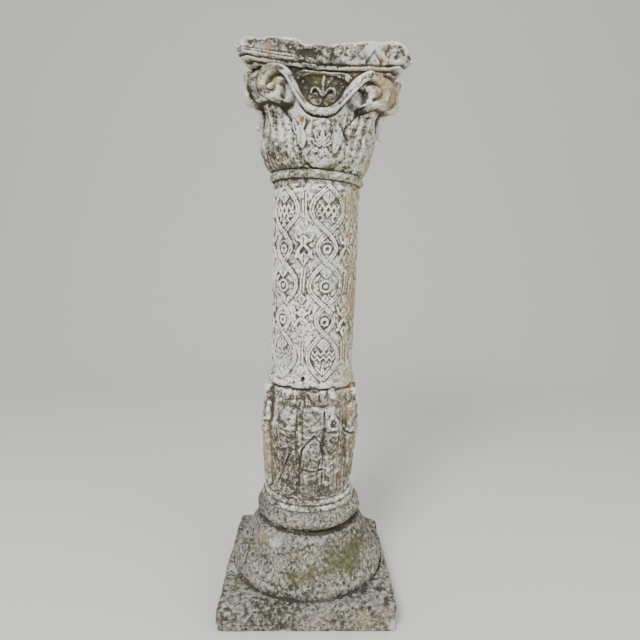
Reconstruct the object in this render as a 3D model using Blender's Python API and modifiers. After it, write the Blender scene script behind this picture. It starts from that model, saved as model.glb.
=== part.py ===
"""Weathered column pedestal in carved stone: a moulded base, a figured shaft and a capital.

Three blocks stand one on another. The base is level. The shaft leans a little to the right and
the capital leans more, and the bed of each block is cut along the top of the block below it.
Lengths are in metres, +Z is up and the front looks along -Y. Azimuths start at the front and
grow towards +X.
"""
from math import atan2, cos, degrees, pi, radians, sin

import bmesh
import bpy
from mathutils import Matrix, Vector

# Base block
PLINTH_SIDE = 0.350
PLINTH_HEIGHT = 0.052
PLINTH_WEAR = 0.006
SKIRT_SETBACK = 0.012
SKIRT_HEIGHT = 0.110
SKIRT_TOP_LEDGE = 0.009
SKIRT_LIP = 0.012
FILLET_HEIGHT = 0.006
UPPER_TORUS_HEIGHT = 0.036
UPPER_TORUS_OVERHANG = 0.012
BED_LIP = 0.002
CHIP_RADIUS = 0.017

# Shaft block
SHAFT_RADIUS = 0.0835
SHAFT_FLARE = 0.0025
FOOT_FLARE = 0.0115
FOOT_HEIGHT = 0.022
DRUM_SWELL = 0.005
DRUM_HEIGHT = 0.227
RING_HEIGHT = 0.017
RING_OVERHANG = 0.009
KNOT_HEIGHT = 0.379
SHAFT_LEAN = radians(0.95)
SHAFT_SHIFT = -0.0015
DRILL_RADIUS = 0.0045
DRILL_DEPTH = 0.014
DRILL_AZIMUTH = radians(-12)

# Knotwork on the shaft
KNOT_COLUMNS = 6
KNOT_FIRST_AZIMUTH = radians(15)
LOOP_SHARES = (0.247, 0.137, 0.207, 0.167, 0.242)
LARGE_LOOP_HALF_WIDTH = 0.033
SMALL_LOOP_HALF_WIDTH = 0.018
STRAND_RADIUS = 0.0045
STRAND_LIFT = 0.0006
KNOT_RELIEF = 0.0030
LEAF_LENGTH = 0.028
LEAF_WIDTH = 0.012

# Figures around the drum
FIGURE_COUNT = 8
FIGURE_FIRST_AZIMUTH = radians(16)
HEAD_RADIUS = 0.0125
ROBE_HALF_WIDTH = 0.024
ROBE_TAPER = 0.8
TORSO_TAPER = 0.7
HEM_RISE = 0.010
ARM_RADIUS = 0.0065
FOLD_RADIUS = 0.0040
FIGURE_RELIEF = 0.015

# Capital block
NECK_HEIGHT = 0.009
NECK_RING_HEIGHT = 0.017
NECK_RING_OVERHANG = 0.0105
BELL_HEIGHT = 0.161
BELL_SWELL = 0.029
# Height above the neck ring and swell along the bell, from the top down, as shares
BELL_OUTLINE = ((1.06, 1.0), (0.62, 1.0), (0.38, 0.97), (0.22, 0.84), (0.10, 0.55), (0.03, 0.22))
SHOULDER_FOOT_HALF = 0.068
SHOULDER_TOP_HALF = 0.116
MOULDING_HEIGHT = 0.0115
MOULDING_STEP = 0.013
SLAB_HEIGHT = 0.039
ABACUS_SIDE = 0.306
ABACUS_HOLLOW = 0.019
ABACUS_CORNER = 0.020
VOLUTE_RADIUS = 0.028
VOLUTE_INSET = 0.021
VOLUTE_SETOUT = 0.034
BAND_RADIUS = 0.0050
SHELL_REACH = 0.048
SHELL_WIDTH = 0.026
FACE_RELIEF = 0.010
LEAF_TILT = radians(13)
CORNER_LEAF_RADIUS = 0.022
CAPITAL_LEAN = radians(2.5)
CAPITAL_SHIFT = -0.002
BREAK_DEPTH = 0.009

# Clearance between two blocks, and how finely round shapes are divided
BED_GAP = 0.0003
BASE_STEPS = 28
SHAFT_STEPS = 24
BELL_STEPS = 20
# Share of the carved faces that is kept where they are too small to matter
KEPT_FACES = 0.72

BASE_TOP = PLINTH_HEIGHT + SKIRT_HEIGHT + UPPER_TORUS_HEIGHT + BED_LIP
FOOT_RADIUS = SHAFT_RADIUS + DRUM_SWELL + FOOT_FLARE
DRUM_RADIUS = SHAFT_RADIUS + DRUM_SWELL
RING_BOTTOM = FOOT_HEIGHT + DRUM_HEIGHT
KNOT_BOTTOM = RING_BOTTOM + RING_HEIGHT
SHAFT_TOP = KNOT_BOTTOM + KNOT_HEIGHT
NECK_RADIUS = SHAFT_RADIUS + SHAFT_FLARE
NECK_RING_TOP = NECK_HEIGHT + NECK_RING_HEIGHT
BELL_TOP = NECK_RING_TOP + BELL_HEIGHT
MOULDING_TOP = BELL_TOP + MOULDING_HEIGHT
CAPITAL_TOP = MOULDING_TOP + SLAB_HEIGHT
BELL_RADIUS = NECK_RADIUS + BELL_SWELL
# How far a block is modelled past its bed before the bed is cut
BED_OVERRUN = 0.012


def clear_scene():
    for item in list(bpy.data.objects):
        bpy.data.objects.remove(item, do_unlink=True)


def stone(name, colour):
    """A dull stone with one base colour."""
    material = bpy.data.materials.new(name)
    material.use_nodes = True
    shader = material.node_tree.nodes["Principled BSDF"]
    shader.inputs["Base Color"].default_value = (*colour, 1.0)
    shader.inputs["Roughness"].default_value = 0.9
    shader.inputs["Metallic"].default_value = 0.0
    return material


def collection(name):
    group = bpy.data.collections.new(name)
    bpy.context.scene.collection.children.link(group)
    return group


def add_object(name, mesh, group, frame):
    item = bpy.data.objects.new(name, mesh)
    item.matrix_world = frame
    group.objects.link(item)
    return item


def add_helper(name, mesh, group, frame):
    """A solid that is only joined to a block or cut from one."""
    item = add_object(name, mesh, group, frame)
    item.hide_render = True
    item.display_type = "WIRE"
    return item


def polar(azimuth, radius, height):
    """The point at an azimuth from the front, a radius and a height."""
    return Vector((radius * sin(azimuth), -radius * cos(azimuth), height))


def facing(azimuth, radius, height):
    """A frame at that point, with X to the right, -Y outwards and Z up."""
    turn = Matrix.Rotation(azimuth, 4, "Z")
    return turn @ Matrix.Translation((0.0, -radius, height))


def ellipse(centre, half_width, half_height, start, end, count):
    """Points (radius, height) along an arc, with angles in degrees from the outer side up."""
    points = []
    for step in range(count):
        angle = radians(start + (end - start) * step / (count - 1))
        points.append((centre[0] + half_width * cos(angle), centre[1] + half_height * sin(angle)))
    return points


def turned(name, profile, steps, group, frame):
    """A profile of (radius, height) points, from the top down, turned about the axis."""
    mesh = bpy.data.meshes.new(name)
    points = [(radius, 0.0, height) for radius, height in profile]
    edges = [(index, index + 1) for index in range(len(points) - 1)]
    mesh.from_pydata(points, edges, [])
    item = add_object(name, mesh, group, frame)
    screw = item.modifiers.new("turned", "SCREW")
    screw.axis = "Z"
    screw.angle = 2 * pi
    screw.steps = steps
    screw.render_steps = steps
    screw.use_merge_vertices = True
    screw.merge_threshold = 0.00001
    screw.use_smooth_shade = True
    return item


def mesh_from_curve(name, curve):
    """The mesh of a curve, with its caps welded on."""
    guide = bpy.data.objects.new(name, curve)
    bpy.context.scene.collection.objects.link(guide)
    depsgraph = bpy.context.evaluated_depsgraph_get()
    mesh = bpy.data.meshes.new_from_object(guide.evaluated_get(depsgraph))
    bpy.data.objects.remove(guide, do_unlink=True)
    bm = bmesh.new()
    bm.from_mesh(mesh)
    bmesh.ops.remove_doubles(bm, verts=bm.verts, dist=0.00001)
    bmesh.ops.recalc_face_normals(bm, faces=bm.faces)
    bm.to_mesh(mesh)
    bm.free()
    return mesh


def tubes(name, routes, radius, resolution):
    """Round bars along routes, each a list of (point, share of the radius) and closed or not."""
    curve = bpy.data.curves.new(name, "CURVE")
    curve.dimensions = "3D"
    curve.bevel_depth = radius
    curve.bevel_resolution = resolution
    curve.use_fill_caps = True
    for route, closed in routes:
        spline = curve.splines.new("POLY")
        spline.points.add(len(route) - 1)
        for spot, (point, share) in zip(spline.points, route):
            spot.co = (*point, 1.0)
            spot.radius = share
        spline.use_cyclic_u = closed
    return mesh_from_curve(name, curve)


def plate(name, outline, bottom, top):
    """A flat outline of (x, y) points, raised from one height to another."""
    curve = bpy.data.curves.new(name, "CURVE")
    curve.dimensions = "2D"
    curve.fill_mode = "BOTH"
    curve.extrude = (top - bottom) / 2
    spline = curve.splines.new("POLY")
    spline.points.add(len(outline) - 1)
    for spot, (x, y) in zip(spline.points, outline):
        spot.co = (x, y, 0.0, 1.0)
    spline.use_cyclic_u = True
    mesh = mesh_from_curve(name, curve)
    mesh.transform(Matrix.Translation((0.0, 0.0, (top + bottom) / 2)))
    return mesh


def balls(name, frames, fineness):
    """Unit balls squeezed and placed by their frames, in one mesh."""
    mesh = bpy.data.meshes.new(name)
    bm = bmesh.new()
    for frame in frames:
        bmesh.ops.create_icosphere(bm, subdivisions=fineness, radius=1.0, matrix=frame)
    bm.to_mesh(mesh)
    bm.free()
    return mesh


def cones(name, frames, sides, foot, tip):
    """Cones of unit height with a foot and a tip radius, placed by their frames, in one mesh."""
    mesh = bpy.data.meshes.new(name)
    bm = bmesh.new()
    for frame in frames:
        bmesh.ops.create_cone(bm, cap_ends=True, segments=sides, radius1=foot, radius2=tip,
                              depth=1.0, matrix=frame)
    bm.to_mesh(mesh)
    bm.free()
    return mesh


def block(name, size):
    """A box with its middle at the origin."""
    mesh = bpy.data.meshes.new(name)
    bm = bmesh.new()
    bmesh.ops.create_cube(bm, size=1.0, matrix=Matrix.Diagonal((*size, 1.0)))
    bm.to_mesh(mesh)
    bm.free()
    return mesh


def scaled(width, depth, height):
    return Matrix.Diagonal((width, depth, height, 1.0))


def leaf(frame, angle, length, width, relief):
    """The frame of one leaf that starts at a point and runs off at an angle from upright."""
    return (frame @ Matrix.Rotation(angle, 4, "Y")
            @ Matrix.Translation((0.0, 0.0, length / 2))
            @ scaled(width / 2, relief, length))


def join(item, group):
    """Unites a block with every solid of a collection."""
    union = item.modifiers.new("carving", "BOOLEAN")
    union.operation = "UNION"
    union.operand_type = "COLLECTION"
    union.collection = group
    union.solver = "EXACT"


def lighten(item):
    """Merges the smallest faces that the unions leave."""
    collapse = item.modifiers.new("lighter", "DECIMATE")
    collapse.ratio = KEPT_FACES


def cut(item, cutter):
    difference = item.modifiers.new(cutter.name, "BOOLEAN")
    difference.operation = "DIFFERENCE"
    difference.object = cutter
    difference.solver = "EXACT"


def leaning(x, z, lean):
    """The frame of a block whose axis starts at (x, z) and leans towards +X."""
    return Matrix.Translation((x, 0.0, z)) @ Matrix.Rotation(lean, 4, "Y")


def cut_bed(item, name, frame, height, group):
    """Cuts a block off just above the top plane, at a height in its frame, of the one below."""
    size = 3 * FOOT_RADIUS
    place = frame @ Matrix.Translation((0.0, 0.0, height + BED_GAP - size / 2))
    cut(item, add_helper(name, block(name, (size, size, size)), group, place))


def base_profile():
    """Upper torus, fillet and sloping skirt with a rounded lip, from the seat of the shaft down."""
    seat = FOOT_RADIUS - BED_LIP
    upper_bottom = BASE_TOP - BED_LIP - UPPER_TORUS_HEIGHT
    upper_middle = upper_bottom + UPPER_TORUS_HEIGHT / 2
    upper_radius = FOOT_RADIUS + UPPER_TORUS_OVERHANG
    bulge = UPPER_TORUS_HEIGHT / 2
    step = FOOT_RADIUS + FILLET_HEIGHT / 2
    ledge = (step + SKIRT_TOP_LEDGE, upper_bottom - FILLET_HEIGHT)
    lip = (PLINTH_SIDE / 2 - SKIRT_SETBACK - SKIRT_LIP, PLINTH_HEIGHT + SKIRT_LIP)
    slope_angle = degrees(atan2(lip[0] + SKIRT_LIP - ledge[0], ledge[1] - lip[1]))
    profile = [(0.0, BASE_TOP), (seat, BASE_TOP), (seat, BASE_TOP - BED_LIP)]
    profile += ellipse((upper_radius - bulge, upper_middle), bulge, bulge, 80, -80, 6)
    profile += [(step, upper_bottom), (step, ledge[1]), ledge]
    profile += ellipse(lip, SKIRT_LIP, SKIRT_LIP, slope_angle, -70, 5)
    profile += [(lip[0], PLINTH_HEIGHT / 2), (0.0, PLINTH_HEIGHT / 2)]
    return profile


def build_base(part, cutters):
    """The square plinth and the round mouldings on it, with the worn and chipped edges."""
    half = PLINTH_SIDE / 2
    place = Matrix.Translation((0.0, 0.0, PLINTH_HEIGHT / 2))
    size = (PLINTH_SIDE, PLINTH_SIDE, PLINTH_HEIGHT)
    base = add_object("base", block("base", size), part, place)
    wear = base.modifiers.new("worn edges", "BEVEL")
    wear.width = PLINTH_WEAR
    wear.segments = 2
    mouldings = collection("base_mouldings")
    turning = turned("base_turning", base_profile(), BASE_STEPS, mouldings, Matrix.Identity(4))
    turning.hide_render = True
    turning.display_type = "WIRE"
    join(base, mouldings)
    chips = [((-half, -half, 0.0), 1.0), ((-0.3 * half, -half - CHIP_RADIUS / 2, 0.0), 0.9),
             ((0.84 * half, half, PLINTH_HEIGHT), 1.2), ((half, -0.2 * half, PLINTH_HEIGHT), 0.7)]
    frames = []
    for centre, share in chips:
        reach = CHIP_RADIUS * share
        frames.append(Matrix.Translation(centre) @ scaled(reach, 0.8 * reach, 0.7 * reach))
    cut(base, add_helper("plinth_chips", balls("plinth_chips", frames, 1), cutters,
                         Matrix.Identity(4)))
    base.data.materials.append(stone("base_stone", (0.30, 0.29, 0.23)))
    return base


def shaft_radius(height):
    """The plain radius of the knotwork part, which widens a little towards the top."""
    return SHAFT_RADIUS + SHAFT_FLARE * (height - KNOT_BOTTOM) / KNOT_HEIGHT


def shaft_profile():
    """Top of the shaft, ring, drum and the stepped foot, from the top down."""
    ring_middle = KNOT_BOTTOM - RING_HEIGHT / 2
    bulge = RING_OVERHANG - DRUM_SWELL / 2
    profile = [(0.0, SHAFT_TOP), (NECK_RADIUS, SHAFT_TOP), (SHAFT_RADIUS, KNOT_BOTTOM)]
    profile += ellipse((SHAFT_RADIUS + RING_OVERHANG - bulge, ring_middle), bulge,
                       RING_HEIGHT / 2, 60, -60, 5)
    profile += [(DRUM_RADIUS, RING_BOTTOM), (DRUM_RADIUS, FOOT_HEIGHT)]
    for share in (0.35, 0.7):
        radius = DRUM_RADIUS + FOOT_FLARE * share
        level = FOOT_HEIGHT * (1 - share)
        profile += [(radius, level + FOOT_HEIGHT * 0.2), (radius, level)]
    profile += [(FOOT_RADIUS, FOOT_HEIGHT * 0.2), (FOOT_RADIUS, -BED_OVERRUN),
                (0.0, -BED_OVERRUN)]
    return profile


def loop_levels():
    """The heights at which the two strands of a column cross."""
    levels = [KNOT_BOTTOM]
    for share in LOOP_SHARES:
        levels.append(levels[-1] + KNOT_HEIGHT * share / sum(LOOP_SHARES))
    return levels


def strand(azimuth, side):
    """One strand of a column: it swings out and back once in each loop and then changes side."""
    levels = loop_levels()
    route = []
    for number, (low, high) in enumerate(zip(levels, levels[1:])):
        large = number % 2 == 0
        half_width = LARGE_LOOP_HALF_WIDTH if large else SMALL_LOOP_HALF_WIDTH
        swing = half_width / SHAFT_RADIUS * (side if large else -side)
        steps = 4 if large else 3
        first = 0 if number == 0 else 1
        for step in range(first, steps + 1):
            share = step / steps
            height = low + (high - low) * share
            lift = KNOT_RELIEF - STRAND_RADIUS + STRAND_LIFT * side
            at = polar(azimuth + swing * sin(pi * share), shaft_radius(height) + lift, height)
            route.append((at, 1.0))
    # The ends stay clear of the ring below and of the bed above
    for end, level in ((0, KNOT_BOTTOM + STRAND_RADIUS / 2), (-1, SHAFT_TOP - STRAND_RADIUS)):
        point, share = route[end]
        route[end] = (Vector((point.x, point.y, level)), share)
    return route


def column_azimuths():
    return [KNOT_FIRST_AZIMUTH + 2 * pi * n / KNOT_COLUMNS for n in range(KNOT_COLUMNS)]


def rosette(azimuth, height):
    """The frame of a round flower, as a short cone that stands out of the shaft."""
    return (facing(azimuth, shaft_radius(height), height) @ Matrix.Rotation(pi / 2, 4, "X")
            @ scaled(1.0, 1.0, 2 * KNOT_RELIEF))


def carve_knotwork(group, frame):
    """The interlaced strands with their rosettes, and leaves in the loops and between them."""
    levels = loop_levels()
    middles = [(low + high) / 2 for low, high in zip(levels, levels[1:])]
    azimuths = column_azimuths()
    for side, name in ((-1, "strands_left"), (1, "strands_right")):
        routes = [(strand(azimuth, side), False) for azimuth in azimuths]
        add_helper(name, tubes(name, routes, STRAND_RADIUS, 0), group, frame)
    flowers = [rosette(azimuth, middle) for azimuth in azimuths for middle in middles[1::2]]
    add_helper("rosettes", cones("rosettes", flowers, 7, 0.55 * SMALL_LOOP_HALF_WIDTH,
                                 0.35 * SMALL_LOOP_HALF_WIDTH), group, frame)
    leaves = []
    for azimuth in azimuths:
        for middle in middles[0::2]:
            start = facing(azimuth, shaft_radius(middle), middle - LEAF_LENGTH * 0.75)
            for tilt in (-1, 1):
                foot = start @ Matrix.Translation((tilt * LEAF_WIDTH * 0.6, 0.0, 0.0))
                leaves.append(leaf(foot, tilt * 0.45, LEAF_LENGTH, LEAF_WIDTH, KNOT_RELIEF))
        between = azimuth + pi / KNOT_COLUMNS
        for level in levels[1:-1]:
            start = facing(between, shaft_radius(level), level)
            leaves.append(leaf(start, 0.0, LEAF_LENGTH, 1.2 * LEAF_WIDTH, KNOT_RELIEF))
    add_helper("shaft_leaves", cones("shaft_leaves", leaves, 4, 1.0, 0.0), group, frame)


def carve_figures(group, frame):
    """Robed figures standing round the drum, each with a head, a robe, an arm and two folds."""
    crown = RING_BOTTOM - HEAD_RADIUS * 0.4
    shoulder = crown - 2.2 * HEAD_RADIUS
    hem = FOOT_HEIGHT + HEM_RISE
    heads = []
    robes = []
    torsos = []
    arms = []
    folds = []
    for number in range(FIGURE_COUNT):
        azimuth = FIGURE_FIRST_AZIMUTH + 2 * pi * number / FIGURE_COUNT
        side = 1 if number % 2 else -1
        head = facing(azimuth, DRUM_RADIUS + HEAD_RADIUS * 0.35, crown - HEAD_RADIUS)
        heads.append(head @ scaled(HEAD_RADIUS * 0.85, HEAD_RADIUS, HEAD_RADIUS * 1.1))
        tall = shoulder - hem
        middle = facing(azimuth, DRUM_RADIUS, hem + tall * 0.45)
        robes.append(middle @ scaled(ROBE_HALF_WIDTH, FIGURE_RELIEF * 0.75, tall * 0.9))
        chest = facing(azimuth, DRUM_RADIUS, shoulder - tall * 0.26)
        torsos.append(chest @ scaled(ROBE_HALF_WIDTH * 0.92, FIGURE_RELIEF * 1.05, tall * 0.5))
        reach = DRUM_RADIUS + FIGURE_RELIEF * 0.85
        spread = ROBE_HALF_WIDTH / DRUM_RADIUS
        sunk = reach - ARM_RADIUS
        arms.append(([(polar(azimuth + side * spread * 0.8, sunk, shoulder - ARM_RADIUS), 1.0),
                      (polar(azimuth + side * spread * 0.9, reach, shoulder - tall * 0.24), 1.1),
                      (polar(azimuth - side * spread * 0.2, reach, shoulder - tall * 0.29), 0.8)],
                     False))
        high = hem + tall * 0.6
        droop = tall * 0.17
        low = high - droop
        folds.append(([(polar(azimuth - side * spread * 0.85, sunk, high), 0.6),
                       (polar(azimuth - side * spread * 0.2, reach - FOLD_RADIUS, low), 1.0),
                       (polar(azimuth + side * spread * 0.55, sunk, low + droop * 0.1), 0.6)],
                      False))
    add_helper("heads", balls("heads", heads, 1), group, frame)
    add_helper("robes", cones("robes", robes, 8, 1.0, ROBE_TAPER), group, frame)
    add_helper("torsos", cones("torsos", torsos, 8, 1.0, TORSO_TAPER), group, frame)
    add_helper("arms", tubes("arms", arms, ARM_RADIUS, 0), group, frame)
    add_helper("folds", tubes("folds", folds, FOLD_RADIUS, 0), group, frame)


def build_shaft(part, cutters, frame):
    """The figured drum, the ring and the knotwork shaft, in one leaning block."""
    shaft = turned("shaft", shaft_profile(), SHAFT_STEPS, part, frame)
    carving = collection("shaft_carving")
    carve_knotwork(carving, frame)
    carve_figures(carving, frame)
    cut_bed(shaft, "shaft_bed", Matrix.Identity(4), BASE_TOP, cutters)
    ring_face = facing(DRILL_AZIMUTH, SHAFT_RADIUS + RING_OVERHANG, KNOT_BOTTOM)
    drill = ring_face @ Matrix.Rotation(pi / 2, 4, "X") @ scaled(1.0, 1.0, 2 * DRILL_DEPTH)
    cut(shaft, add_helper("drilled_hole", cones("drilled_hole", [drill], 8, DRILL_RADIUS,
                                                DRILL_RADIUS), cutters, frame))
    join(shaft, carving)
    lighten(shaft)
    shaft.data.materials.append(stone("shaft_stone", (0.42, 0.38, 0.32)))
    return shaft


def bell_profile():
    """Bell, neck ring and neck of the capital, from the underside of the abacus down."""
    ring_middle = NECK_HEIGHT + NECK_RING_HEIGHT / 2
    bulge = NECK_RING_HEIGHT / 2
    ring = NECK_RADIUS + NECK_RING_OVERHANG - bulge
    profile = [(0.0, NECK_RING_TOP + BELL_HEIGHT * BELL_OUTLINE[0][0])]
    for share, swell in BELL_OUTLINE:
        profile.append((NECK_RADIUS + BELL_SWELL * swell, NECK_RING_TOP + BELL_HEIGHT * share))
    profile += ellipse((ring, ring_middle), bulge, bulge, 75, -75, 5)
    profile += [(NECK_RADIUS, NECK_HEIGHT), (NECK_RADIUS, -BED_OVERRUN), (0.0, -BED_OVERRUN)]
    return profile


def abacus_outline(inset):
    """A square with cut corners and hollow sides, drawn in by an inset."""
    half = ABACUS_SIDE / 2 - inset
    steps = 4
    outline = []
    for side in range(4):
        turn = side * pi / 2
        for step in range(steps + 1):
            share = 2 * step / steps - 1
            x = share * (half - ABACUS_CORNER)
            y = -half + ABACUS_HOLLOW * (1 - share * share)
            outline.append((x * cos(turn) - y * sin(turn), x * sin(turn) + y * cos(turn)))
    return outline


def scroll_centre(side):
    """Height, sideways place and depth of the eye of a volute."""
    across = ABACUS_SIDE / 2 - ABACUS_CORNER - VOLUTE_RADIUS - VOLUTE_INSET
    return Vector((side * across, -(across + VOLUTE_SETOUT), BELL_TOP - VOLUTE_RADIUS))


def shoulder_half(height):
    """Half the side of the square that the bell spreads into, which widens towards the top."""
    share = (height - NECK_RING_TOP) / BELL_HEIGHT
    return SHOULDER_FOOT_HALF + (SHOULDER_TOP_HALF - SHOULDER_FOOT_HALF) * share


def face_depth(across, height):
    """How far the front of the capital stands out at a place across it: bell or shoulder."""
    bell = max(BELL_RADIUS ** 2 - across ** 2, 0.0) ** 0.5
    return max(bell, shoulder_half(height))


def carve_face(turn, carving):
    """The scrolls, the band that hangs between them, and the shell and leaf of one side."""
    for side in (-1, 1):
        eye = scroll_centre(side)
        tip = Matrix.Rotation(side * radians(16), 4, "Z")
        face = turn @ Matrix.Translation(eye) @ tip
        upright = Matrix.Rotation(pi / 2, 4, "X")
        carving["scrolls"].append(face @ upright @ scaled(1.0, 1.0, 1.5 * VOLUTE_RADIUS))
        rim = []
        for step in range(7):
            angle = radians(100 + 62 * step)
            radius = VOLUTE_RADIUS * (0.86 - 0.1 * step)
            at = Vector((side * radius * cos(angle), -0.78 * VOLUTE_RADIUS, radius * sin(angle)))
            rim.append((face @ at, 1.0 - 0.07 * step))
        carving["bands"].append((rim, False))
    inner = scroll_centre(1).x
    high = BELL_TOP - VOLUTE_RADIUS / 2
    low = BELL_TOP - 0.43 * BELL_HEIGHT
    arch = []
    hanging = []
    for step in range(7):
        share = step / 3 - 1
        drop = (1 - share * share) ** 2
        across = inner * 0.85 * share
        level = high + (low - high) * drop
        out = face_depth(across, level) + BAND_RADIUS / 2
        hanging.append((turn @ Vector((across, -out, level)), 1.1))
        across = SHELL_REACH * share
        level = BELL_TOP - BAND_RADIUS * (0.3 + 2.2 * share * share)
        out = face_depth(across, level) + BAND_RADIUS / 2
        arch.append((turn @ Vector((across, -out, level)), 0.9))
    carving["garlands"] += [(hanging, False), (arch, False)]
    shell = turn @ facing(0.0, BELL_RADIUS, low - BAND_RADIUS / 2)
    for number in range(-1, 2):
        length = SHELL_REACH * (1.2 - 0.2 * abs(number))
        carving["shell"].append(leaf(shell, number * radians(36), length, SHELL_WIDTH,
                                     FACE_RELIEF))
    middle = turn @ facing(0.0, BELL_RADIUS - 2 * FACE_RELIEF, NECK_RING_TOP + 0.27 * BELL_HEIGHT)
    carving["leaves"].append(middle @ Matrix.Rotation(LEAF_TILT, 4, "X")
                             @ scaled(0.28 * BELL_HEIGHT, 2.4 * FACE_RELIEF, 0.28 * BELL_HEIGHT))


def carve_corner(azimuth, carving):
    """The body of the volutes at one corner and the leaf that curls out below it."""
    corner = abs(scroll_centre(1).y) * 2 ** 0.5
    spot = facing(azimuth, corner - 0.55 * VOLUTE_RADIUS, BELL_TOP - VOLUTE_RADIUS)
    carving["bodies"].append(spot @ scaled(1.15 * VOLUTE_RADIUS, VOLUTE_RADIUS,
                                           0.96 * VOLUTE_RADIUS))
    tip = corner + 0.1 * VOLUTE_RADIUS
    # Reach, height and thickness along the leaf, as shares
    rise = ((0.0, 0.12, 0.9), (0.16, 0.3, 1.3), (0.3, 0.48, 1.25), (0.5, 0.6, 0.9),
            (1.0, 0.655, 0.4))
    start = NECK_RADIUS
    route = []
    for out, up, share in rise:
        radius = start + (tip - start) * out
        route.append((polar(azimuth, radius, NECK_RING_TOP + BELL_HEIGHT * up), share))
    carving["corner_leaves"].append((route, False))


def carve_capital(group, frame):
    """All that stands out of the bell, on its four sides and at its four corners."""
    carving = {name: [] for name in ("scrolls", "bands", "garlands", "shell", "leaves",
                                     "bodies", "corner_leaves")}
    for side in range(4):
        azimuth = side * pi / 2
        carve_face(Matrix.Rotation(azimuth, 4, "Z"), carving)
        carve_corner(azimuth + pi / 4, carving)
    add_helper("volute_scrolls", cones("volute_scrolls", carving["scrolls"], 10,
                                       VOLUTE_RADIUS * 0.93, VOLUTE_RADIUS * 0.93), group, frame)
    add_helper("volute_rims", tubes("volute_rims", carving["bands"], BAND_RADIUS, 0), group, frame)
    add_helper("garlands", tubes("garlands", carving["garlands"], BAND_RADIUS, 0), group, frame)
    add_helper("shells", cones("shells", carving["shell"], 4, 0.35, 1.0), group, frame)
    add_helper("front_leaves", balls("front_leaves", carving["leaves"], 2), group, frame)
    add_helper("volute_bodies", balls("volute_bodies", carving["bodies"], 2), group, frame)
    add_helper("corner_leaves", tubes("corner_leaves", carving["corner_leaves"],
                                      CORNER_LEAF_RADIUS, 1), group, frame)
    # A cone with four sides has its corners at 45 degrees, so it is a square that widens
    rise = MOULDING_TOP - NECK_RING_TOP
    core = (Matrix.Translation((0.0, 0.0, NECK_RING_TOP + rise / 2))
            @ Matrix.Rotation(pi / 4, 4, "Z") @ scaled(1.0, 1.0, rise))
    corner = 2 ** 0.5
    add_helper("shoulders", cones("shoulders", [core], 4, corner * SHOULDER_FOOT_HALF,
                                  corner * shoulder_half(MOULDING_TOP)), group, frame)


def carve_abacus(group, cutters, frame):
    """The slab and the two mouldings below it, with what is lost at the front.

    Lost are the top edge in the middle, the tops of both corners and the boss in the middle.
    """
    half = ABACUS_SIDE / 2
    front = -half + ABACUS_HOLLOW
    # Place across, in depth and under the top, and the half sizes of each loss
    losses = [((-0.12 * half, front, 0.0), (0.28 * half, 0.36 * half, BREAK_DEPTH)),
              ((-0.92 * half, -0.95 * half, 0.0), (0.34 * half, 0.34 * half, 1.45 * BREAK_DEPTH)),
              ((half, -half, 0.0), (0.16 * half, 0.26 * half, 1.6 * BREAK_DEPTH)),
              ((-0.16 * half, front - 0.7 * BREAK_DEPTH, -0.6 * SLAB_HEIGHT),
               (0.12 * half, 1.3 * BREAK_DEPTH, 0.75 * SLAB_HEIGHT))]
    breaks = []
    for number, ((x, y, z), size) in enumerate(losses):
        name = f"abacus_break_{number + 1}"
        loss = Matrix.Translation((x, y, CAPITAL_TOP + z)) @ scaled(*size)
        breaks.append(add_helper(name, balls(name, [loss], 1), cutters, frame))
    slabs = (("abacus_slab", 0.0, MOULDING_TOP, CAPITAL_TOP),
             ("abacus_step", MOULDING_STEP, MOULDING_TOP - MOULDING_HEIGHT / 2,
              MOULDING_TOP + SLAB_HEIGHT / 4),
             ("abacus_bed", 2 * MOULDING_STEP, BELL_TOP, MOULDING_TOP + SLAB_HEIGHT / 8))
    for name, inset, bottom, top in slabs:
        slab = add_helper(name, plate(name, abacus_outline(inset), bottom, top), group, frame)
        for loss in breaks:
            cut(slab, loss)


def build_capital(part, cutters, frame, shaft_frame):
    """The neck ring, bell, leaves, volutes and abacus, in one block that leans more."""
    capital = turned("capital", bell_profile(), BELL_STEPS, part, frame)
    carving = collection("capital_carving")
    carve_capital(carving, frame)
    carve_abacus(carving, cutters, frame)
    cut_bed(capital, "capital_bed", shaft_frame, SHAFT_TOP, cutters)
    join(capital, carving)
    lighten(capital)
    capital.data.materials.append(stone("capital_stone", (0.40, 0.38, 0.30)))
    return capital


def build():
    clear_scene()
    part = collection("column_pedestal")
    cutters = collection("cutters")
    build_base(part, cutters)
    shaft_frame = leaning(SHAFT_SHIFT, BASE_TOP, SHAFT_LEAN)
    build_shaft(part, cutters, shaft_frame)
    neck = shaft_frame @ Vector((CAPITAL_SHIFT, 0.0, SHAFT_TOP))
    capital_frame = leaning(neck.x, neck.z, CAPITAL_LEAN)
    build_capital(part, cutters, capital_frame, shaft_frame)


build()
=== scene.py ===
import bpy
import numpy as np
from mathutils import Matrix, Vector


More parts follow.
